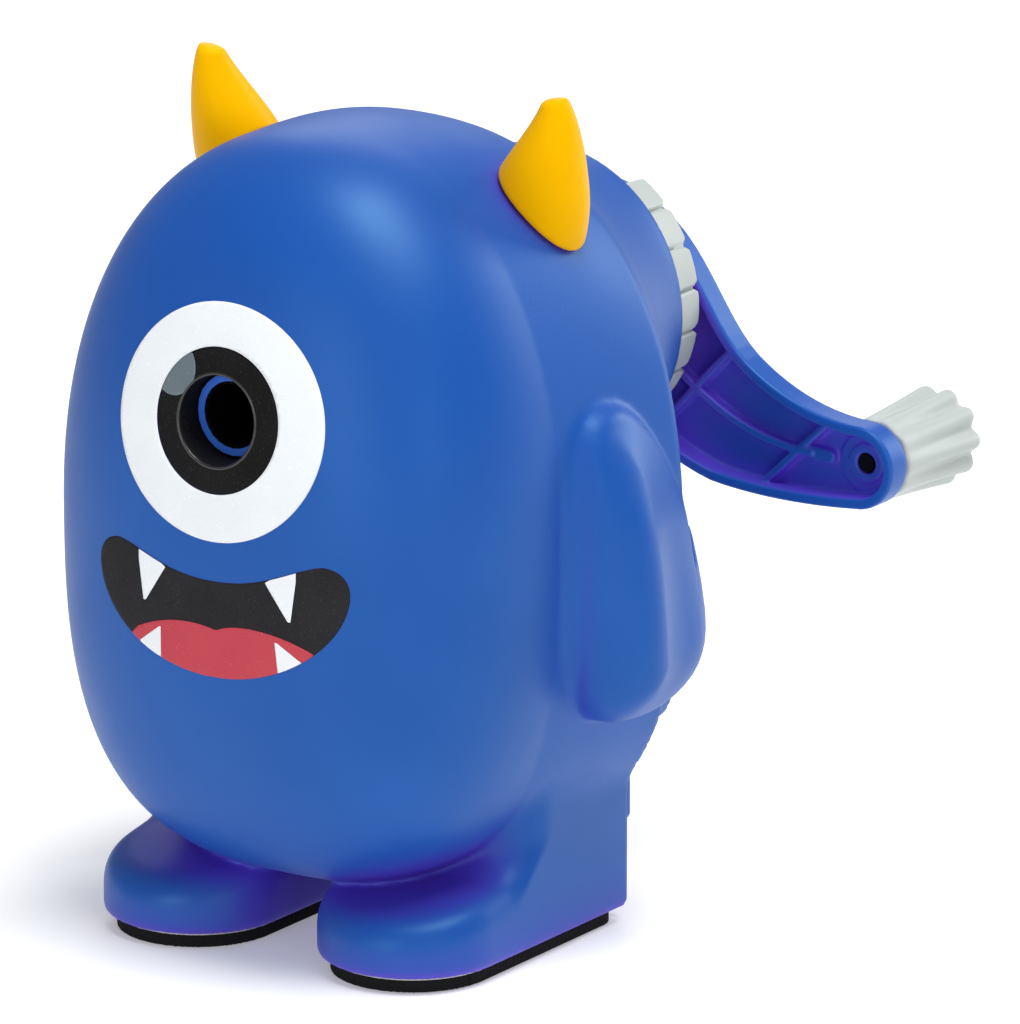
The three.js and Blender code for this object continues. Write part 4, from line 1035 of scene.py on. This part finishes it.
def pads():
    """Foam pads with the edge of their white adhesive tape over them."""
    for side, name in ((-1, "left"), (1, "right")):
        low, high = (side * FOOT_X - 12, -26, 0), (side * FOOT_X + 12, 20, 2.2)
        pad = sheet_field(side, PAD_INSET, PAD_HALF, PAD_HALF, 0.3)
        mesh_field(f"{name}_pad_foam", pad, low, high, cell_size(0.35), FOAM, "root",
                   [f"{name}_foot_pad"])
        tape = sheet_field(side, TAPE_INSET, TAPE_Z, TAPE_HALF, 0.05)
        mesh_field(f"{name}_pad_tape", tape, low, high, 0.28, TAPE, "root")


ARM_OUTLINE = arm_outline()
DOME_IN = Dome(WALL)

front_shell()
rear_cover()
drawer()
face()
bezel()
horns()
lock_ring()
crank_arm()
knob()
pads()

# ---------------------------------------------------------------- floor, light, camera


FLOOR_HALF = 3.0                                        # metres
# name, place and aim in metres, width and height, watts
LAMPS = [
    ("top", (0.26, -0.10, 1.05), (0, 0, 0.07), (0.6, 0.6), 11),
    ("front", (0.0, -1.3, 0.35), (0, 0, 0.06), (0.6, 0.4), 3.4),
    ("side", (1.0, -0.75, 0.30), (0, 0.03, 0.07), (0.3, 0.3), 0.9),
    ("back", (0.45, 1.0, 0.40), (0, 0, 0.07), (0.4, 0.6), 4.2),
    ("back_top", (-0.5, 0.8, 0.6), (0, 0, 0.1), (0.5, 0.4), 1.3),
]
WORLD_STRENGTH = 0.34
AZIMUTH, ELEVATION, DISTANCE = math.radians(33.87), math.radians(15.58), 1456.9     # from the target, mm
TARGET_X, TARGET_Z = 24.84, 62.67
LENS, SENSOR = 376.6, 36


def stage():
    """Pale paper floor."""
    mesh = bpy.data.meshes.new("floor")
    corners = [(-1, -1), (1, -1), (1, 1), (-1, 1)]
    mesh.from_pydata([(a * FLOOR_HALF, b * FLOOR_HALF, 0) for a, b in corners], [], [[0, 1, 2, 3]])
    floor = bpy.data.objects.new("floor", mesh)
    bpy.context.scene.collection.objects.link(floor)
    material, tree, shader = principled("floor_paper", (0.9, 0.9, 0.9), 0.9, Emission_Strength=0.22)
    shader.inputs["Emission Color"].default_value = (1, 1, 1, 1)
    cloud = texture(tree, "ShaderNodeTexNoise", 8, 3)
    tint = mix_color(tree, cloud.outputs["Fac"], (0.91, 0.91, 0.91), (0.88, 0.88, 0.88))
    tree.links.new(tint, shader.inputs["Base Color"])
    mesh.materials.append(material)


def area(name, at, aim, size, power):
    """Rectangular lamp that points at its aim."""
    data = bpy.data.lights.new(name, "AREA")
    data.shape = "RECTANGLE"
    data.size, data.size_y = size
    data.energy = power
    lamp = bpy.data.objects.new(name, data)
    lamp.location = at
    lamp.rotation_euler = (Vector(aim) - Vector(at)).to_track_quat("-Z", "Y").to_euler()
    bpy.context.scene.collection.objects.link(lamp)


def camera():
    """Camera at the product picture's angle."""
    target = Vector(((TARGET_X + SHIFT[0]) * MM, (0 + SHIFT[1]) * MM, TARGET_Z * MM))
    level = math.cos(ELEVATION)
    back = Vector((math.sin(AZIMUTH) * level, -math.cos(AZIMUTH) * level, math.sin(ELEVATION)))
    data = bpy.data.cameras.new("camera")
    data.sensor_width = data.sensor_height = SENSOR
    data.lens = LENS
    data.clip_start, data.clip_end = 0.1, 20
    cam = bpy.data.objects.new("camera", data)
    cam.location = target + back * DISTANCE * MM
    cam.rotation_euler = back.to_track_quat("Z", "Y").to_euler()
    bpy.context.scene.collection.objects.link(cam)
    bpy.context.scene.camera = cam


def light():
    """Soft studio light."""
    world = bpy.data.worlds.new("studio")
    world.use_nodes = True
    background = world.node_tree.nodes["Background"]
    background.inputs["Color"].default_value = (1, 1, 1, 1)
    background.inputs["Strength"].default_value = WORLD_STRENGTH
    bpy.context.scene.world = world
    for lamp in LAMPS:
        area(*lamp)
    bpy.context.scene.view_settings.view_transform = "Standard"


stage()
light()
camera()
